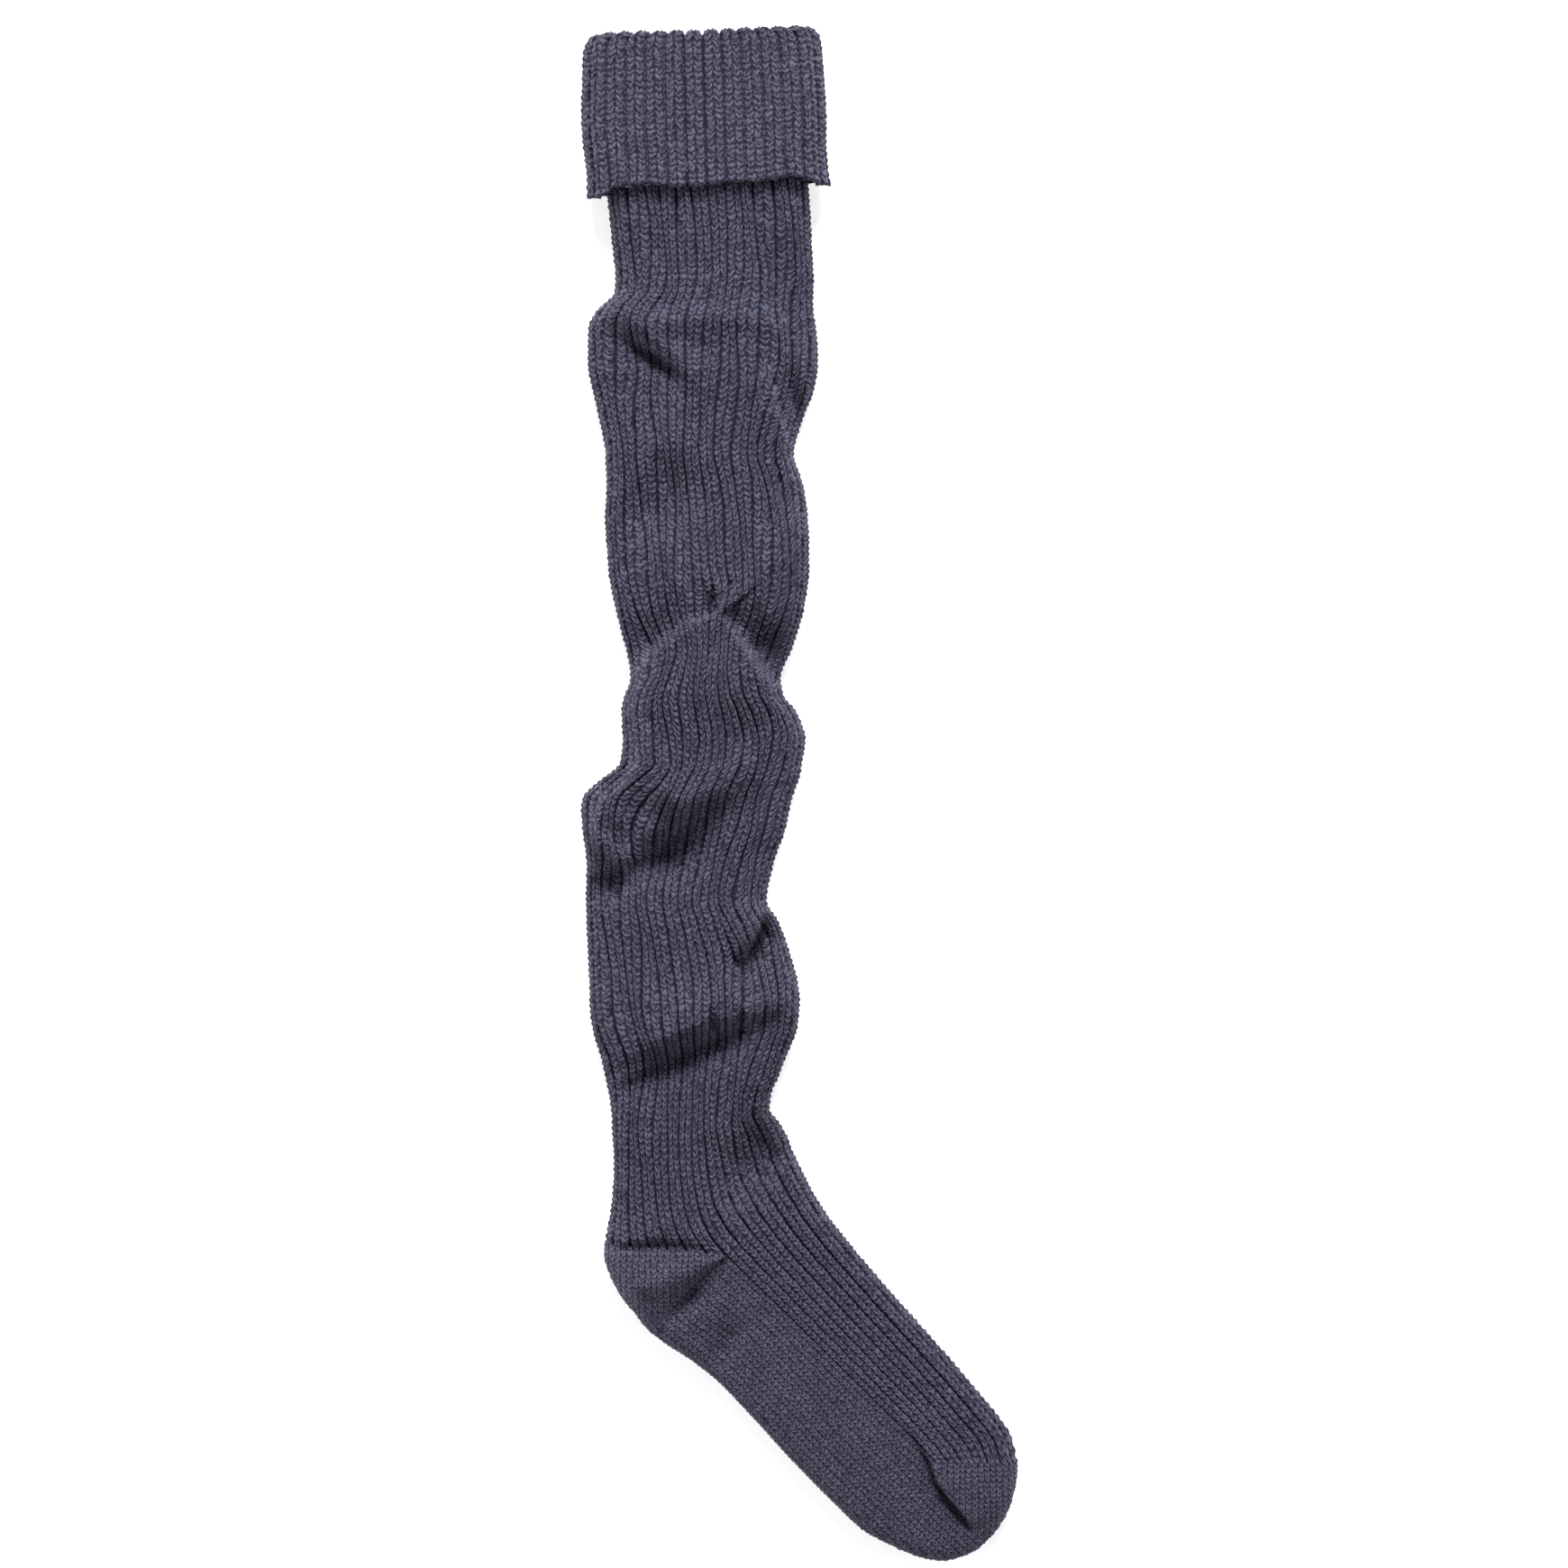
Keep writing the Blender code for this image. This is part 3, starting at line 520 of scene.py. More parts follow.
def plain_height(wale, course):
    """Height of plain knit, at counts of stitches across and rows along."""
    lean = np.abs(2.0 * (wale % 1.0) - 1.0)
    row = course + WALE_SLANT * lean
    size = 1.0 + FINE_UNEVEN * uneven(np.floor(wale), np.floor(row + 0.5), 2.0)
    bump = 0.5 + 0.5 * np.cos(2.0 * pi * row)
    return FINE_RELIEF * (leg_profile(lean) * (LEG_HOLLOW + (1.0 - LEG_HOLLOW) * bump) * size - 0.5)


def counted(across, along, depth):
    """What each point keeps of its stitches: counts of wales and rows, and the grooves' depth, for bumps
    and painted shade.
    """
    return np.stack(np.broadcast_arrays(across, along, depth), axis=-1)


def grid_faces(rows, columns, closed):
    """Corner numbers of the quads of a grid, whose last column may join its first."""
    here = np.arange(rows * columns).reshape(rows, columns)
    right = np.roll(here, -1, axis=1)
    last = columns if closed else columns - 1
    quads = np.stack([here[:-1], here[1:], right[1:], right[:-1]], axis=-1)
    return quads[:, :last].reshape(-1, 4)


def mesh_from(name, points, faces, stitches, light):
    """A mesh object from points, quads, counts of stitches and how open to light each point is, for painted
    shade.
    """
    mesh = bpy.data.meshes.new(name)
    mesh.vertices.add(len(points))
    mesh.vertices.foreach_set("co", points.astype(np.float32).ravel())
    mesh.loops.add(faces.size)
    mesh.loops.foreach_set("vertex_index", faces.astype(np.int32).ravel())
    mesh.polygons.add(len(faces))
    mesh.polygons.foreach_set("loop_start", np.arange(0, faces.size, 4, dtype=np.int32))
    mesh.polygons.foreach_set("loop_total", np.full(len(faces), 4, dtype=np.int32))
    mesh.update(calc_edges=True)
    mesh.validate()
    shade = mesh.attributes.new("open_to_light", "FLOAT", "POINT")
    shade.data.foreach_set("value", light.astype(np.float32).ravel())
    counts = mesh.attributes.new("stitches", "FLOAT_VECTOR", "POINT")
    counts.data.foreach_set("vector", stitches.astype(np.float32).ravel())
    mesh.shade_smooth()
    piece = bpy.data.objects.new(name, mesh)
    bpy.context.scene.collection.objects.link(piece)
    return piece


HEEL_GAP = 0.0007  # from the heel's solid to the corner where the leg, the heel and the foot meet


def frame_shift():
    """From the plan's own origin to the frame, by the corner where the leg, the heel and the foot meet."""
    heel_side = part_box("heel")[1].x + HEEL_GAP
    return np.array((heel_side - HEEL_CORNER[0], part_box("leg")[0].y - HEEL_CORNER[1], 0.0))


SHIFT = frame_shift()


def knit_piece(name, points, stitches, node, material, up=True, closed=False, light=1.0):
    """A piece of knit from a grid of points in plan coordinates, attached to the root in place of its
    node's solid.
    """
    faces = grid_faces(points.shape[0], points.shape[1], closed)
    normal = np.cross(points[1:, :-1] - points[:-1, :-1], points[:-1, 1:] - points[:-1, :-1])
    if (np.mean(normal[..., 2]) > 0.0) != up:
        faces = faces[:, ::-1]
    lights = np.broadcast_to(light, points.shape[:2])
    piece = mesh_from(name, points.reshape(-1, 3) + SHIFT, faces, stitches, lights)
    piece.data.materials.append(material)
    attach(piece, "root")
    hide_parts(node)
    return piece


FOLD_RADIUS = KNIT_WALL + CLEARANCE / 2.0
LEG_TOP = (FOLD_RADIUS + CLEARANCE) / LEG_LENGTH
HEM = CUFF_DEPTH / LEG_LENGTH


LEG_SAMPLES = 800
TABLE_COLUMNS, TABLE_ROWS = RIBS_AROUND * 4, 4  # columns all round, and rows for each row of stitches
SOFTENED = 3  # columns to either side over which the lengths walked are averaged


def course_table():
    """For each count of rows down the leg, the share of its length there, in columns around it."""
    down = np.linspace(LEG_TOP, 1.0, LEG_SAMPLES)
    share = np.arange(TABLE_COLUMNS) / TABLE_COLUMNS
    rows = leg_row(np.repeat(down[:, None], len(share), axis=1))
    points = section_points(rows, np.repeat(share[None, :], len(down), axis=0))
    steps = np.linalg.norm(np.diff(points, axis=0), axis=-1)
    soft = sum(np.roll(steps, k, axis=1) for k in range(-SOFTENED, SOFTENED + 1)) / (2.0 * SOFTENED + 1.0)
    walked = np.concatenate([np.zeros((1, len(share))), np.cumsum(soft, axis=0)])
    count = int(round(float(np.mean(walked[-1])) / COURSE))
    courses = walked / walked[-1] * count
    wanted = np.arange(0, count * TABLE_ROWS + 1) / TABLE_ROWS
    table = np.stack([np.interp(wanted, courses[:, k], down) for k in range(len(share))], axis=1)
    return count, np.concatenate([table, table[:, :1]], axis=1)


COURSES, COURSE_TABLE = course_table()


def down_at(share, course):
    """The share of the leg's length at a share of the way round and a count of rows down."""
    column = (share % 1.0) * TABLE_COLUMNS
    line = np.clip(course, 0.0, COURSES) * TABLE_ROWS
    i = np.minimum(line.astype(int), COURSES * TABLE_ROWS - 1)
    j = np.minimum(column.astype(int), TABLE_COLUMNS - 1)
    a, b = line - i, column - j
    upper = COURSE_TABLE[i, j] * (1.0 - b) + COURSE_TABLE[i, j + 1] * b
    lower = COURSE_TABLE[i + 1, j] * (1.0 - b) + COURSE_TABLE[i + 1, j + 1] * b
    return upper * (1.0 - a) + lower * a


def leg_knit(first_rib, last_rib, mesh):
    """Grid of points and stitches of the leg's ribbed knit between two rib grooves."""
    share, inside, course, along = rib_grid(first_rib, last_rib, COURSES, mesh)
    down = down_at(share, along)
    points = section_points(leg_row(down), wandered(share, down))
    rib = np.floor(share * RIBS_AROUND + NUDGE)
    height, depth = rib_height(inside, course, rib, calm_at(points[..., :2]))
    stitches = counted(share * RIBS_AROUND * 2.0, along, depth)
    return raised(points, outward_normals(points, first_rib < HALF), height, stitches)


def make_leg(material):
    """The leg: two halves of its upper face, its underside and its inner side."""
    for name, first, last in (("leg_back", 0, QUARTER), ("leg_front", QUARTER, HALF)):
        points, stitches = leg_knit(first, last, FINE_MESH)
        knit_piece(name, points, stitches, "leg", material)
    points, stitches = leg_knit(HALF, RIBS_AROUND, COARSE_MESH)
    knit_piece("leg_underside", points, stitches, "leg", material, up=False)
    make_lining(material)


PLAIN_GROOVES = 0.6  # depth of the grooves on the inner sides, in their bumps and in their painted shade
# Rows and ends of the inner sides, and the painted shade that darkens their colour all over
LINING_ROWS, LINING_END, LINING_PAINTED_LIGHT = 160, 0.999, 0.8
INNER_ROWS, INNER_PAINTED_LIGHT = 60, 0.7


def inner_grid(end, rows):
    """Shares of the leg's length and of the way round, for the knit's inner sides."""
    lines = np.linspace(FOLD_RADIUS / LEG_LENGTH, end, rows)
    return np.meshgrid(lines, np.arange(TABLE_COLUMNS) / TABLE_COLUMNS, indexing="ij")


def make_lining(material):
    """The inner side of the leg, which shows through the mouth."""
    down, share = inner_grid(LINING_END, LINING_ROWS)
    inner = Grow(-KNIT_WALL, -KNIT_WALL, -KNIT_WALL)
    points = section_points(leg_row(down - mouth_rise(share, down)), share, inner)
    stitches = counted(share * RIBS_AROUND * 2.0, down * COURSES, PLAIN_GROOVES)
    knit_piece("leg_lining", points, stitches, "leg", material, closed=True, light=LINING_PAINTED_LIGHT)


# How the turned cuff's hem strays: share of the way round, further down and further out, in millimetres
HEM_LINE = (
    (0.000, -1.0, 0.5), (0.030, 1.2, 0.3), (0.055, 1.6, 0.0), (0.085, -2.6, 0.0),
    (0.130, -3.0, 0.0), (0.190, -0.4, 0.0), (0.230, 0.0, 0.0), (0.290, -1.0, 0.0),
    (0.350, -0.6, 0.0), (0.400, -2.6, 0.0), (0.440, 0.2, 0.2), (0.475, 1.6, 0.8), (0.500, 0.2, 1.6),
    (0.540, -3.0, 0.6), (0.620, -4.0, 0.0), (0.880, -4.0, 0.0), (0.960, -3.0, 0.2),
    (1.000, -1.0, 0.5),
)
# How much higher than the solid's the turned cuff's top is: share of the way round, millimetres
MOUTH_RISE = (
    (0.0, 3.0), (0.06, 3.1), (0.15, 2.2), (0.25, 1.4), (0.40, 1.0), (0.5, 0.9), (0.75, 1.4),
    (0.94, 3.1), (1.0, 3.0),
)
HEM_SCALLOP = 0.0008  # how much further down the middle of each rib reaches at the hem
CUFF_ROUND = 0.0019  # how much lower the sides of the cuff's ribs are than their middles
CUFF_TIGHT = -0.7  # how stretched the cuff's ribs are: below 0, their grooves are deeper than the leg's
CUFF_ROWS, CUFF_RIBS, INSTEP_RIBS = 300.0, 40, 80  # their counts go on from here, to differ from the leg's
FOLD_START = 0.35  # height of the stitches where the fold begins inside the mouth, before easing
CORNER = (0.0050, 0.0095)  # how far in and how far down the cuff's upper corners are rounded
FOLD_WALK = pi * FOLD_RADIUS


def mouth_rise(share, down):
    """The share of the leg's length by which the knit near the mouth lies further up."""
    fading = (1.0 - np.clip(down / HEM, 0.0, 1.0)) ** 2
    return read(MOUTH_RISE, 1, share % 1.0) / 1000.0 / LEG_LENGTH * fading


def cuff_points(share, walk):
    """The cuff's outer face, at a distance walked down from the inner end of its fold at the mouth."""
    angle = np.clip(pi - walk / FOLD_RADIUS, 0.0, pi)
    past = np.maximum(walk - FOLD_WALK, 0.0)
    whole = CUFF_DEPTH - LEG_TOP * LEG_LENGTH
    hem_share = np.clip(past / whole, 0.0, 1.0)
    droop = read(HEM_LINE, 1, share % 1.0) / 1000.0 * hem_share**3
    droop += HEM_SCALLOP * np.sin(pi * (share * RIBS_AROUND % 1.0)) ** 2 * hem_share**6
    down = np.where(
        walk < FOLD_WALK,
        FOLD_RADIUS / LEG_LENGTH * (1.0 - np.sin(angle)),
        LEG_TOP + (past + droop) / LEG_LENGTH,
    )
    shrink = FOLD_RADIUS * (1.0 - np.cos(angle))
    flare = down / HEM
    out = read(HEM_LINE, 2, share % 1.0) / 1000.0 * hem_share**5
    below = 1.0 - np.clip((down * LEG_LENGTH + shrink / 2.0) / CORNER[1], 0.0, 1.0)
    cut = CORNER[0] * (1.0 - np.sqrt(1.0 - below * below))
    side = CLEARANCE + CUFF_STAND_OFF * flare + KNIT_WALL - shrink + out - cut
    top = CLEARANCE + CUFF_LOFT * flare + KNIT_WALL - shrink
    bottom = CLEARANCE + KNIT_WALL - shrink
    return section_points(leg_row(down - mouth_rise(share, down)), share, Grow(side, top, bottom))


def cuff_knit(first_rib, last_rib, mesh):
    """Grid of points and stitches of the turned cuff between two rib grooves."""
    whole = FOLD_WALK + CUFF_DEPTH - LEG_TOP * LEG_LENGTH
    count = int(round(whole / COURSE))
    share, inside, course, along = rib_grid(first_rib, last_rib, count, mesh)
    walk = along / count * whole
    points = cuff_points(share, walk)
    rib = np.floor(share * RIBS_AROUND + NUDGE) + CUFF_RIBS
    height, depth = rib_height(inside, course, rib, CUFF_TIGHT, CUFF_ROUND)
    stitches = counted(share * RIBS_AROUND * 2.0, along + CUFF_ROWS, depth)
    normals = outward_normals(points, first_rib < HALF, course[:, 0] > FOLD_WALK / COURSE + 1.0)
    return raised(points, normals, height * eased(walk / FOLD_WALK + FOLD_START), stitches)


# The hem's round end: angles, how far it reaches and how thick it is in walls, and how fast painted shade
# darkens it
HEM_ANGLES = (30.0, 65.0, 100.0, 140.0, 180.0)
HEM_REACH, HEM_THICK, HEM_ROWS, HEM_SHADE_ANGLE = 0.55, 0.5, 120.0, 300.0


def with_hem(points, stitches, up):
    """The same grid with its last row rounded over the hem to the cuff's inner side, with painted shade as
    it turns under.
    """
    last, before = points[-1], points[-1 - FINE_MESH[1]]
    way = last - before
    way /= np.linalg.norm(way, axis=-1, keepdims=True)
    inward = np.array((0.0, 0.0, -1.0 if up else 1.0))
    rings, counts, lights = [points], [stitches], [np.ones(points.shape[:2])]
    for angle in HEM_ANGLES:
        ahead = HEM_REACH * KNIT_WALL * sin(radians(angle))
        under = HEM_THICK * KNIT_WALL * (1.0 - cos(radians(angle)))
        rings.append((last + way * ahead + inward * under)[None])
        counts.append((stitches[-1] + np.array((0.0, angle / HEM_ROWS, 0.0)))[None])
        # painted shade: the colour darkens as the hem turns under to the inner side
        lights.append(np.full((1, points.shape[1]), 1.0 - angle / HEM_SHADE_ANGLE))
    return np.concatenate(rings), np.concatenate(counts), np.concatenate(lights)


def make_cuff(material):
    """The turned cuff: its face and underside with the fold at the mouth, and its inner side."""
    halves = ("cuff_face", 0, HALF, True), ("cuff_underside", HALF, RIBS_AROUND, False)
    for name, first, last, up in halves:
        points, stitches = cuff_knit(first, last, FINE_MESH)
        points, stitches, light = with_hem(points, stitches, up)
        knit_piece(name, points, stitches, "turned_cuff", material, up=up, light=light)
    down, share = inner_grid(HEM, INNER_ROWS)
    flare = down / HEM
    grow = Grow(CLEARANCE + CUFF_STAND_OFF * flare, CLEARANCE + CUFF_LOFT * flare, CLEARANCE)
    points = section_points(leg_row(down - mouth_rise(share, down)), share, grow)
    stitches = counted(share * RIBS_AROUND * 2.0, down * COURSES, PLAIN_GROOVES)
    knit_piece("cuff_inner_side", points, stitches, "turned_cuff", material, closed=True, light=INNER_PAINTED_LIGHT)


INSTEP_CALM = (0.30, 1.15)  # how shallow the instep's grooves are at its edge and beside the sole
INSTEP_STRETCH = 1.1  # length of the instep's knit, as a share of the sole's
SOLE_SPREAD = 0.58  # width of a quarter of the way round, as a share of the foot's width
SOLE_GRIDS = (110, 240), (80, 180)  # columns and rows of the meshes above and below
HEEL_GRIDS = (110, 120), (80, 90)
TOE_GRIDS = (90, 240), (70, 180)
HEEL_MITRE, TOE_MITRE = 222.0, 298.0  # angles of the lines where the rows of stitches turn


def instep_knit(first_rib, last_rib, mesh):
    """Grid of points and stitches of the ribbed instep."""
    count = int(round(SOLE_LENGTH * INSTEP_STRETCH / COURSE))
    share, inside, course, along = rib_grid(first_rib, last_rib, count, mesh)
    points = section_points(foot_row(along / count), share)
    rib = np.floor(share * RIBS_AROUND + NUDGE) + INSTEP_RIBS
    calm = INSTEP_CALM[0] + (INSTEP_CALM[1] - INSTEP_CALM[0]) * eased(abs(share - 0.5) * 4.0)
    height, depth = rib_height(inside, course, rib, calm)
    stitches = counted(share * RIBS_AROUND * 2.0, along + COURSES, depth)
    return raised(points, outward_normals(points, first_rib < HALF), height, stitches)


def plain_grid(first_share, last_share, grid):
    """Shares of a plain piece's way and of the way round it, for a grid of columns and rows."""
    shares = np.linspace(first_share, last_share, grid[0])
    return np.meshgrid(np.linspace(0.0, 1.0, grid[1]), shares, indexing="ij")


def sole_knit(first_share, last_share, grid):
    """Grid of points and stitches of the plain sole."""
    along, share = plain_grid(first_share, last_share, grid)
    points = section_points(foot_row(along), share)
    wale = share * 4.0 * FOOT_WIDTH * SOLE_SPREAD / FINE_WALE
    course = along * SOLE_LENGTH / FINE_COURSE
    height = plain_height(wale, course)
    normals = outward_normals(points, first_share < 0.5)
    return points + normals * height[..., None], counted(wale, course, 0.0)


def make_foot(material):
    """The foot: ribbed instep and plain sole, above and below."""
    points, stitches = instep_knit(QUARTER, HALF, FINE_MESH)
    knit_piece("instep", points, stitches, "foot", material)
    points, stitches = instep_knit(HALF, HALF + QUARTER, COARSE_MESH)
    knit_piece("instep_underside", points, stitches, "foot", material, up=False)
    points, stitches = sole_knit(0.0, 0.25, SOLE_GRIDS[0])
    knit_piece("sole", points, stitches, "foot", material)
    points, stitches = sole_knit(0.75, 1.0, SOLE_GRIDS[1])
    knit_piece("sole_underside", points, stitches, "foot", material, up=False)


CORNER_FLAT = 0.003  # around the corner, where the rows meet, the knit simply faces up or down
CORNER_OPEN = 1e-6  # keeps the points that meet in the corner apart


def pocket_row(corner, angles, turn, reach, thick):
    """Rows that fan round a corner."""
    way = heading(angles[0] + (angles[1] - angles[0]) * turn)
    middle = np.broadcast_to(corner, way.shape)
    return Row(middle + way * reach[..., None], middle, None, np.zeros_like(turn), thick)


def mitred(points, corner, mitre, first_way, second_way):
    """Counts of stitches across and rows along on the two sides of a line from a pocket's corner."""
    offset = points[..., :2] - corner
    angle = np.degrees(np.arctan2(offset[..., 1], offset[..., 0])) % 360.0
    first_side = np.stack([-first_way[1], first_way[0]])
    second_side = np.stack([-second_way[1], second_way[0]])
    before = angle < mitre
    wale = np.where(before, offset @ first_side, offset @ second_side) / FINE_WALE
    course = np.where(before, offset @ first_way, offset @ second_way) / FINE_COURSE
    return wale, course


def pocket_knit(pocket, first_share, last_share, grid):
    """Grid of points and stitches of a plain pocket, from its sections, corner, mitre and ways of rows."""
    row_of, corner, mitre, ways = pocket
    turn, share = plain_grid(first_share, last_share, grid)
    points = section_points(row_of(turn), share)
    points[..., :2] += CORNER_OPEN * (share[..., None] - 0.25)
    wale, course = mitred(points, corner, mitre, *ways)
    height = plain_height(wale, course)
    up = first_share < 0.5
    near = np.linalg.norm(points[..., :2] - corner, axis=-1) < CORNER_FLAT
    flat = np.array((0.0, 0.0, 1.0 if up else -1.0))
    normals = np.where(near[..., None], flat, outward_normals(points, up))
    return points + normals * height[..., None], counted(wale, course, 0.0)


def heel_row(turn):
    """The heel's sections at shares of its turn."""
    sole = FOOT_SECTIONS[0][1] * FOOT_WIDTH
    reach = HEEL_REACH + (sole - HEEL_REACH) * turn + HEEL_EASE * read(HEEL_TURNS, 1, turn)
    thick = ANKLE_THICK * LEG_THICKNESS + HEEL_PUFF * np.sin(pi * turn)
    return pocket_row(HEEL_CORNER, (180.0 - HEEL_TILT, 270.0 - FOOT_DROP), turn, reach, thick)


def toe_row(turn):
    """The toe's sections at shares of its turn."""
    sole = FOOT_SECTIONS[-1][1] * FOOT_WIDTH
    along = FOOT_SECTIONS[-1][3] * SOLE_LENGTH
    across = FOOT_SECTIONS[-1][2] * FOOT_WIDTH
    seam, seam_angle = hypot(along, across), 360.0 - FOOT_DROP + degrees(atan2(across, along))
    reach = sole + (seam - sole) * turn + TOE_BULGE * read(TOE_TURNS, 1, turn)
    thick = np.full(turn.shape, FOOT_THICKNESS)
    return pocket_row(TOE_CORNER, (270.0 - FOOT_DROP, seam_angle), turn, reach, thick)


HEEL_POCKET = heel_row, HEEL_CORNER, HEEL_MITRE, (np.array((0.0, -1.0)), FOOT_WAY)
TOE_POCKET = toe_row, TOE_CORNER, TOE_MITRE, (FOOT_WAY, np.array((0.0, -1.0)))


def make_pocket(node, pocket, grids, material):
    """The plain heel or toe pocket, above and below."""
    points, stitches = pocket_knit(pocket, 0.0, 0.25, grids[0])
    knit_piece(f"{node}_upper", points, stitches, node, material)
    points, stitches = pocket_knit(pocket, 0.75, 1.0, grids[1])
    knit_piece(f"{node}_underside", points, stitches, node, material, up=False)


def set_inputs(node, **sockets):
    """Sets a shader node's named inputs."""
    for name, value in sockets.items():
        node.inputs[name.replace("_", " ")].default_value = value
    return node


def add_node(tree, kind, **sockets):
    """A shader node with values for its named inputs."""
    return set_inputs(tree.nodes.new(kind), **sockets)


def mixed_colour(tree, factor, first, second):
    """A colour between two colours or sockets, by a factor socket."""
    mix = tree.nodes.new("ShaderNodeMix")
    mix.data_type = "RGBA"
    tree.links.new(factor, mix.inputs["Factor"])
    for socket, colour in ((mix.inputs[6], first), (mix.inputs[7], second)):
        if isinstance(colour, tuple):
            socket.default_value = (*colour, 1.0)
        else:
            tree.links.new(colour, socket)
    return mix.outputs[2]


def noise(tree, place, scale, detail):
    """Noise over the object's own space."""
    made = add_node(tree, "ShaderNodeTexNoise", Scale=scale, Detail=detail, Roughness=0.6)
    tree.links.new(place, made.inputs["Vector"])
    return made.outputs["Fac"]


def ranged(tree, value, low, high, to_low=0.0, to_high=1.0):
    """A value brought from one range to another."""
    made = add_node(tree, "ShaderNodeMapRange", From_Min=low, From_Max=high, To_Min=to_low, To_Max=to_high)
    tree.links.new(value, made.inputs["Value"])
    return made.outputs["Result"]


def sum_of(tree, operation, *values):
    """The result of one sum or function of sockets and numbers."""
    made = tree.nodes.new("ShaderNodeMath")
    made.operation = operation
    for socket, value in zip(made.inputs, values):
        if isinstance(value, float):
            socket.default_value = value
        else:
            tree.links.new(value, socket)
    return made.outputs[0]


def strayed(tree, place, counts):
    """Counts of stitches that stray a little from place to place, as soft yarn does."""
    stray = add_node(tree, "ShaderNodeTexNoise", Scale=STRAY_SCALE, Detail=1.0)
    tree.links.new(place, stray.inputs["Vector"])
    parts = tree.nodes.new("ShaderNodeSeparateColor")
    tree.links.new(stray.outputs["Color"], parts.inputs[0])
    found = []
    for axis, channel, most in (("X", "Red", STRAY_ACROSS), ("Y", "Green", STRAY_ALONG)):
        moved = ranged(tree, parts.outputs[channel], 0.25, 0.75, -most, most)
        found.append(sum_of(tree, "ADD", counts.outputs[axis], moved))
    return found


def attribute(tree, name):
    """A node that reads what each point of the mesh keeps."""
    made = tree.nodes.new("ShaderNodeAttribute")
    made.attribute_name = name
    return made


def stitch_bumps_and_painted_light(tree, place):
    """How open to light the knit is, for painted shade between stitches and in grooves, from the counts at
    its points.
    """
    counts = tree.nodes.new("ShaderNodeSeparateXYZ")
    tree.links.new(attribute(tree, "stitches").outputs["Vector"], counts.inputs[0])
    across, along = strayed(tree, place, counts)
    within = sum_of(tree, "FRACT", across)
    lean = sum_of(tree, "ABSOLUTE", sum_of(tree, "MULTIPLY_ADD", within, 2.0, -1.0))
    row = sum_of(tree, "MULTIPLY_ADD", lean, WALE_SLANT, along)
    bump = sum_of(tree, "COSINE", sum_of(tree, "MULTIPLY", row, 2.0 * pi))
    profile = sum_of(tree, "MULTIPLY_ADD", lean, pi * (1.0 - LEG_START), pi * LEG_START)
    legs = sum_of(tree, "MULTIPLY", sum_of(tree, "SINE", profile), ranged(tree, bump, -1.0, 1.0, 0.18, 1.0))
    stitch = tree.nodes.new("ShaderNodeCombineXYZ")
    tree.links.new(sum_of(tree, "FLOOR", sum_of(tree, "MULTIPLY", across, 2.0)), stitch.inputs[0])
    tree.links.new(sum_of(tree, "ROUND", row), stitch.inputs[1])
    dice = tree.nodes.new("ShaderNodeTexWhiteNoise")
    tree.links.new(stitch.outputs[0], dice.inputs["Vector"])
    legs = sum_of(tree, "MULTIPLY", legs, ranged(tree, dice.outputs["Value"], 0.0, 1.0, *LEG_SIZES))
    from_groove = sum_of(tree, "PINGPONG", across, 1.0)
    groove = ranged(tree, from_groove, 0.0, 2.0 * GROOVE_REACH, GROOVE_SHADE, 0.0)
    groove = sum_of(tree, "MULTIPLY", groove, counts.outputs["Z"])
    held = sum_of(tree, "MAXIMUM", sum_of(tree, "SUBTRACT", 1.0, groove), 0.0)
    return sum_of(tree, "MULTIPLY", legs, held)


FIBRE_SCALE, FIBRE_RANGE = 1500.0, (0.34, 0.66)
PATCH_SCALE, PATCH_RANGE, PATCH_SHARE = 45.0, (0.35, 0.75), 0.35
NAP, NAP_HEIGHT = 0.6, 0.0006
YARN_ROUGHNESS, YARN_SHINE, YARN_SHEEN = 0.93, 0.25, 0.12
SHEEN_SPREAD, SHEEN_TINT = 0.5, (0.75, 0.76, 0.9, 1.0)


def new_material(name):
    """A material, its nodes, its shader, and the socket of places in the object's own space."""
    material = bpy.data.materials.new(name)
    material.use_nodes = True
    tree = material.node_tree
    place = tree.nodes.new("ShaderNodeTexCoord").outputs["Object"]
    return material, tree, tree.nodes["Principled BSDF"], place


def yarn_material(name):
    """Soft slate yarn: painted shade between the stitches and in the grooves, mottled fibre by fibre, with
    a fine nap.
    """
    material, tree, shader, place = new_material(name)
    stitches = stitch_bumps_and_painted_light(tree, place)
    fibres = noise(tree, place, FIBRE_SCALE, 3.0)
    patches = noise(tree, place, PATCH_SCALE, 2.0)
    body = mixed_colour(tree, ranged(tree, fibres, *FIBRE_RANGE), YARN_DARK, YARN_LIGHT)
    body = mixed_colour(tree, ranged(tree, patches, *PATCH_RANGE, 0.0, PATCH_SHARE), body, YARN_DARK)
    # Painted shade: the colour goes dark between stitches, in grooves, under the hem and on the inner sides
    painted_light = sum_of(tree, "MULTIPLY", stitches, attribute(tree, "open_to_light").outputs["Fac"])
    colour = mixed_colour(tree, ranged(tree, painted_light, *PAINTED_LIGHT_RANGE), YARN_PAINTED_SHADE, body)
    tree.links.new(colour, shader.inputs["Base Color"])
    bump = add_node(tree, "ShaderNodeBump", Strength=NAP, Distance=NAP_HEIGHT)
    tree.links.new(sum_of(tree, "MULTIPLY_ADD", fibres, 0.5, stitches), bump.inputs["Height"])
    tree.links.new(bump.outputs["Normal"], shader.inputs["Normal"])
    set_inputs(shader, Roughness=YARN_ROUGHNESS, Specular_IOR_Level=YARN_SHINE)
    set_inputs(shader, Sheen_Weight=YARN_SHEEN, Sheen_Roughness=SHEEN_SPREAD, Sheen_Tint=SHEEN_TINT)
    return material


FLOOR_LEVEL, FLOOR_REACH = -0.0008, 6.0  # just below the lowest stitches, and how far it reaches
FLOOR_GLOW = 0.60


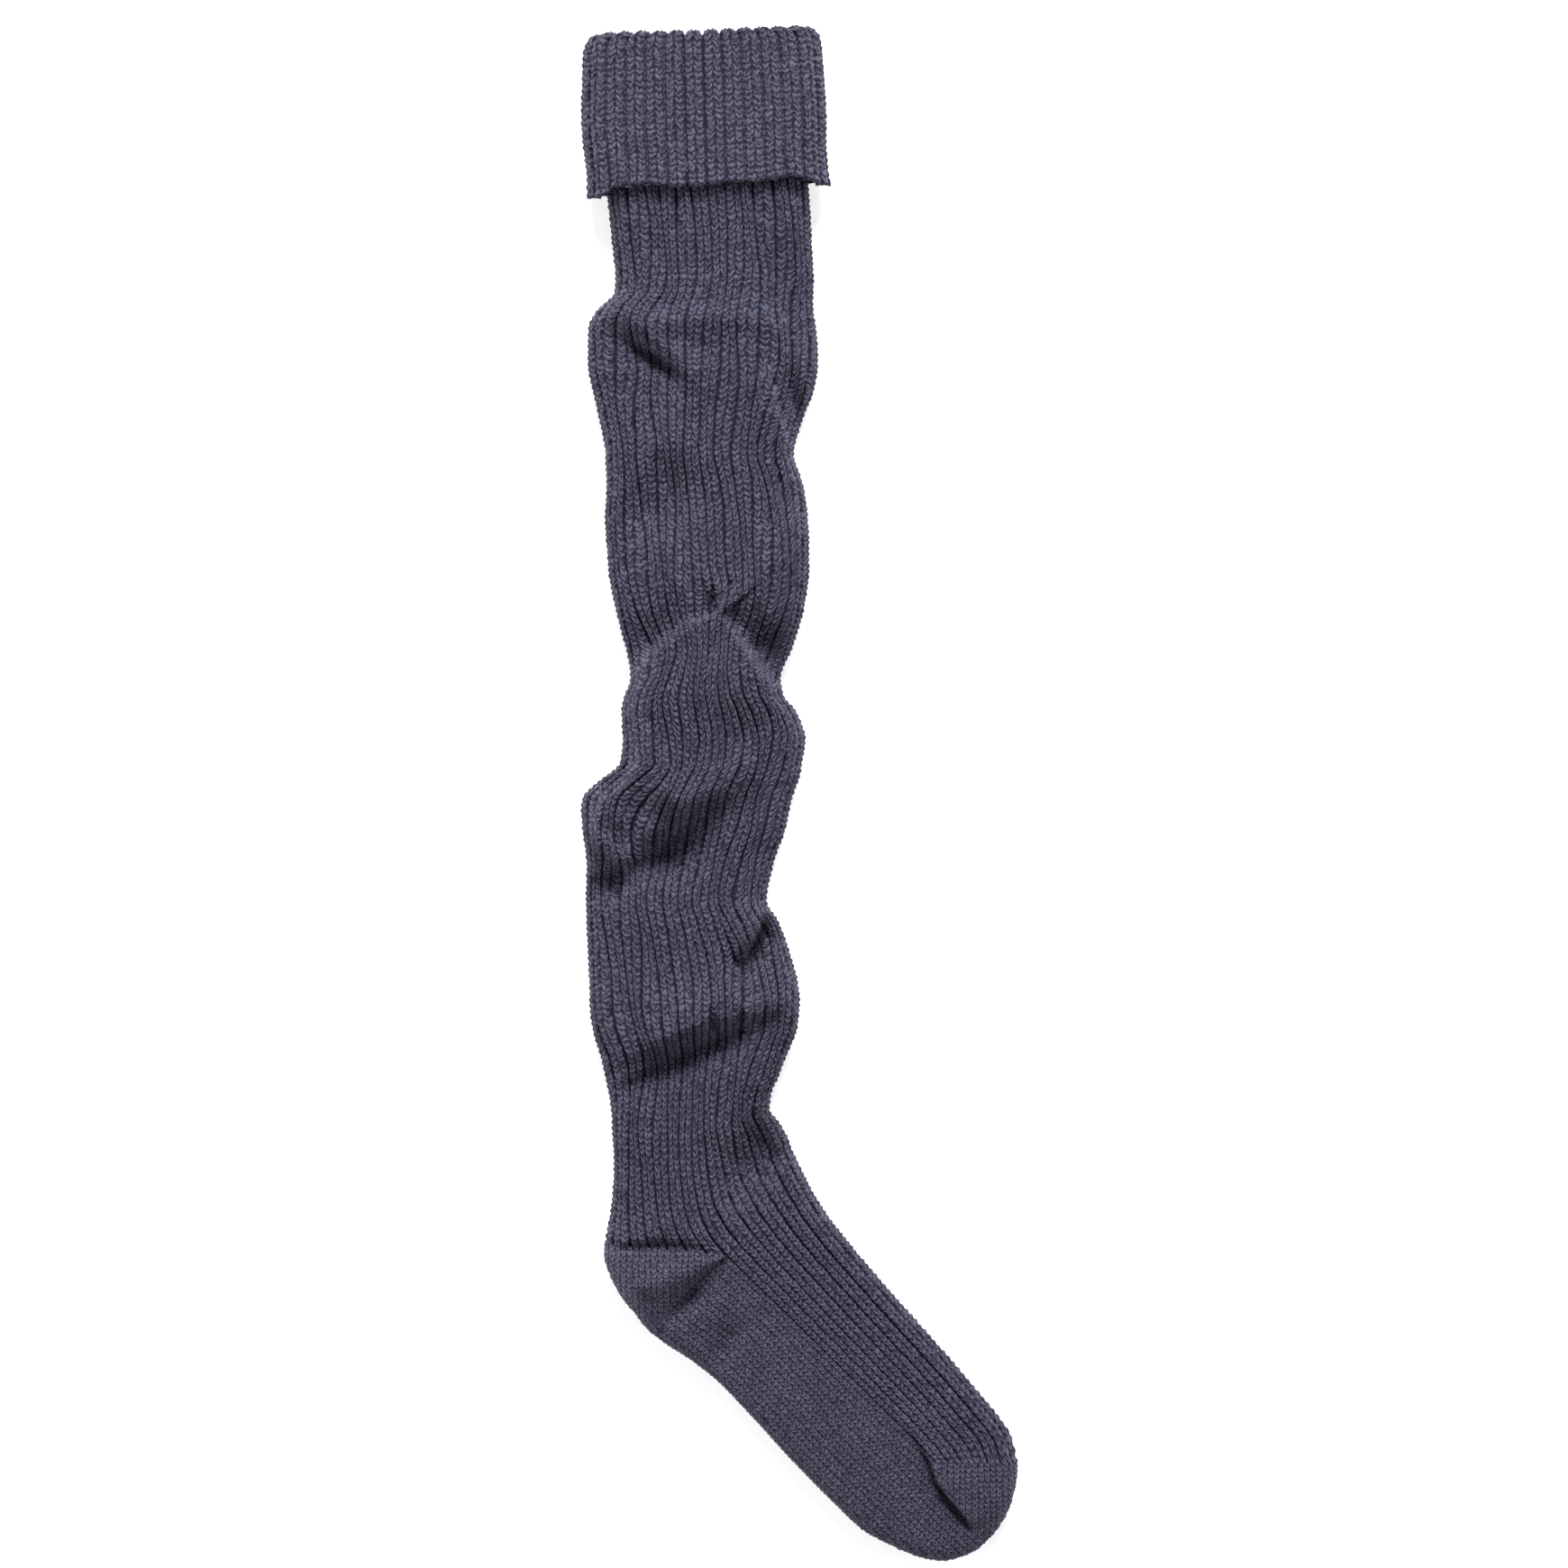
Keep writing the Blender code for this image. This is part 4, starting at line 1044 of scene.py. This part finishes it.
def floor_material():
    """Plain pale floor."""
    material, tree, shader, place = new_material("pale_floor")
    faint = ranged(tree, noise(tree, place, 3.0, 2.0), 0.3, 0.7)
    tint = mixed_colour(tree, faint, FLOOR_WHITE, tuple(x * 0.995 for x in FLOOR_WHITE))
    tree.links.new(tint, shader.inputs["Base Color"])
    set_inputs(shader, Roughness=0.9, Specular_IOR_Level=0.1)
    set_inputs(shader, Emission_Color=WHITE, Emission_Strength=FLOOR_GLOW)
    return material


def make_floor():
    """The floor that the sock lies on."""
    mesh = bpy.data.meshes.new("floor")
    far = FLOOR_REACH
    corners = [(x, y, FLOOR_LEVEL) for x, y in ((-far, -far), (far, -far), (far, far), (-far, far))]
    mesh.from_pydata(corners, [], [(0, 1, 2, 3)])
    floor = bpy.data.objects.new("floor", mesh)
    bpy.context.scene.collection.objects.link(floor)
    mesh.materials.append(floor_material())


def area_light(name, place, size, power):
    """A soft square light that faces the middle of the sock."""
    light = bpy.data.lights.new(name, "AREA")
    light.shape = "SQUARE"
    light.size = size
    light.energy = power
    made = bpy.data.objects.new(name, light)
    bpy.context.scene.collection.objects.link(made)
    made.location = place
    made.rotation_mode = "QUATERNION"
    made.rotation_quaternion = (-Vector(place)).to_track_quat("-Z", "Y")


def make_lights():
    """Plain soft studio light: a large one past the mouth, two low ones and a white room."""
    for light in LIGHTS:
        area_light(*light)
    world = bpy.data.worlds.new("white_room")
    world.use_nodes = True
    set_inputs(world.node_tree.nodes["Background"], Color=WHITE, Strength=ROOM_LIGHT)
    bpy.context.scene.world = world


def make_camera():
    """The photograph's camera, straight above the sock."""
    camera = bpy.data.cameras.new("camera")
    camera.lens = CAMERA_LENS
    camera.sensor_width = 36.0
    camera.clip_start, camera.clip_end = 0.05, 30.0
    made = bpy.data.objects.new("camera", camera)
    bpy.context.scene.collection.objects.link(made)
    made.location = CAMERA_PLACE
    bpy.context.scene.camera = made


def make_scene():
    """The whole scene."""
    bpy.context.scene.view_settings.view_transform = "Standard"
    yarn = yarn_material("slate_yarn")
    make_leg(yarn)
    make_cuff(yarn)
    make_pocket("heel", HEEL_POCKET, HEEL_GRIDS, yarn)
    make_foot(yarn)
    make_pocket("toe", TOE_POCKET, TOE_GRIDS, yarn)
    make_floor()
    make_lights()
    make_camera()


make_scene()
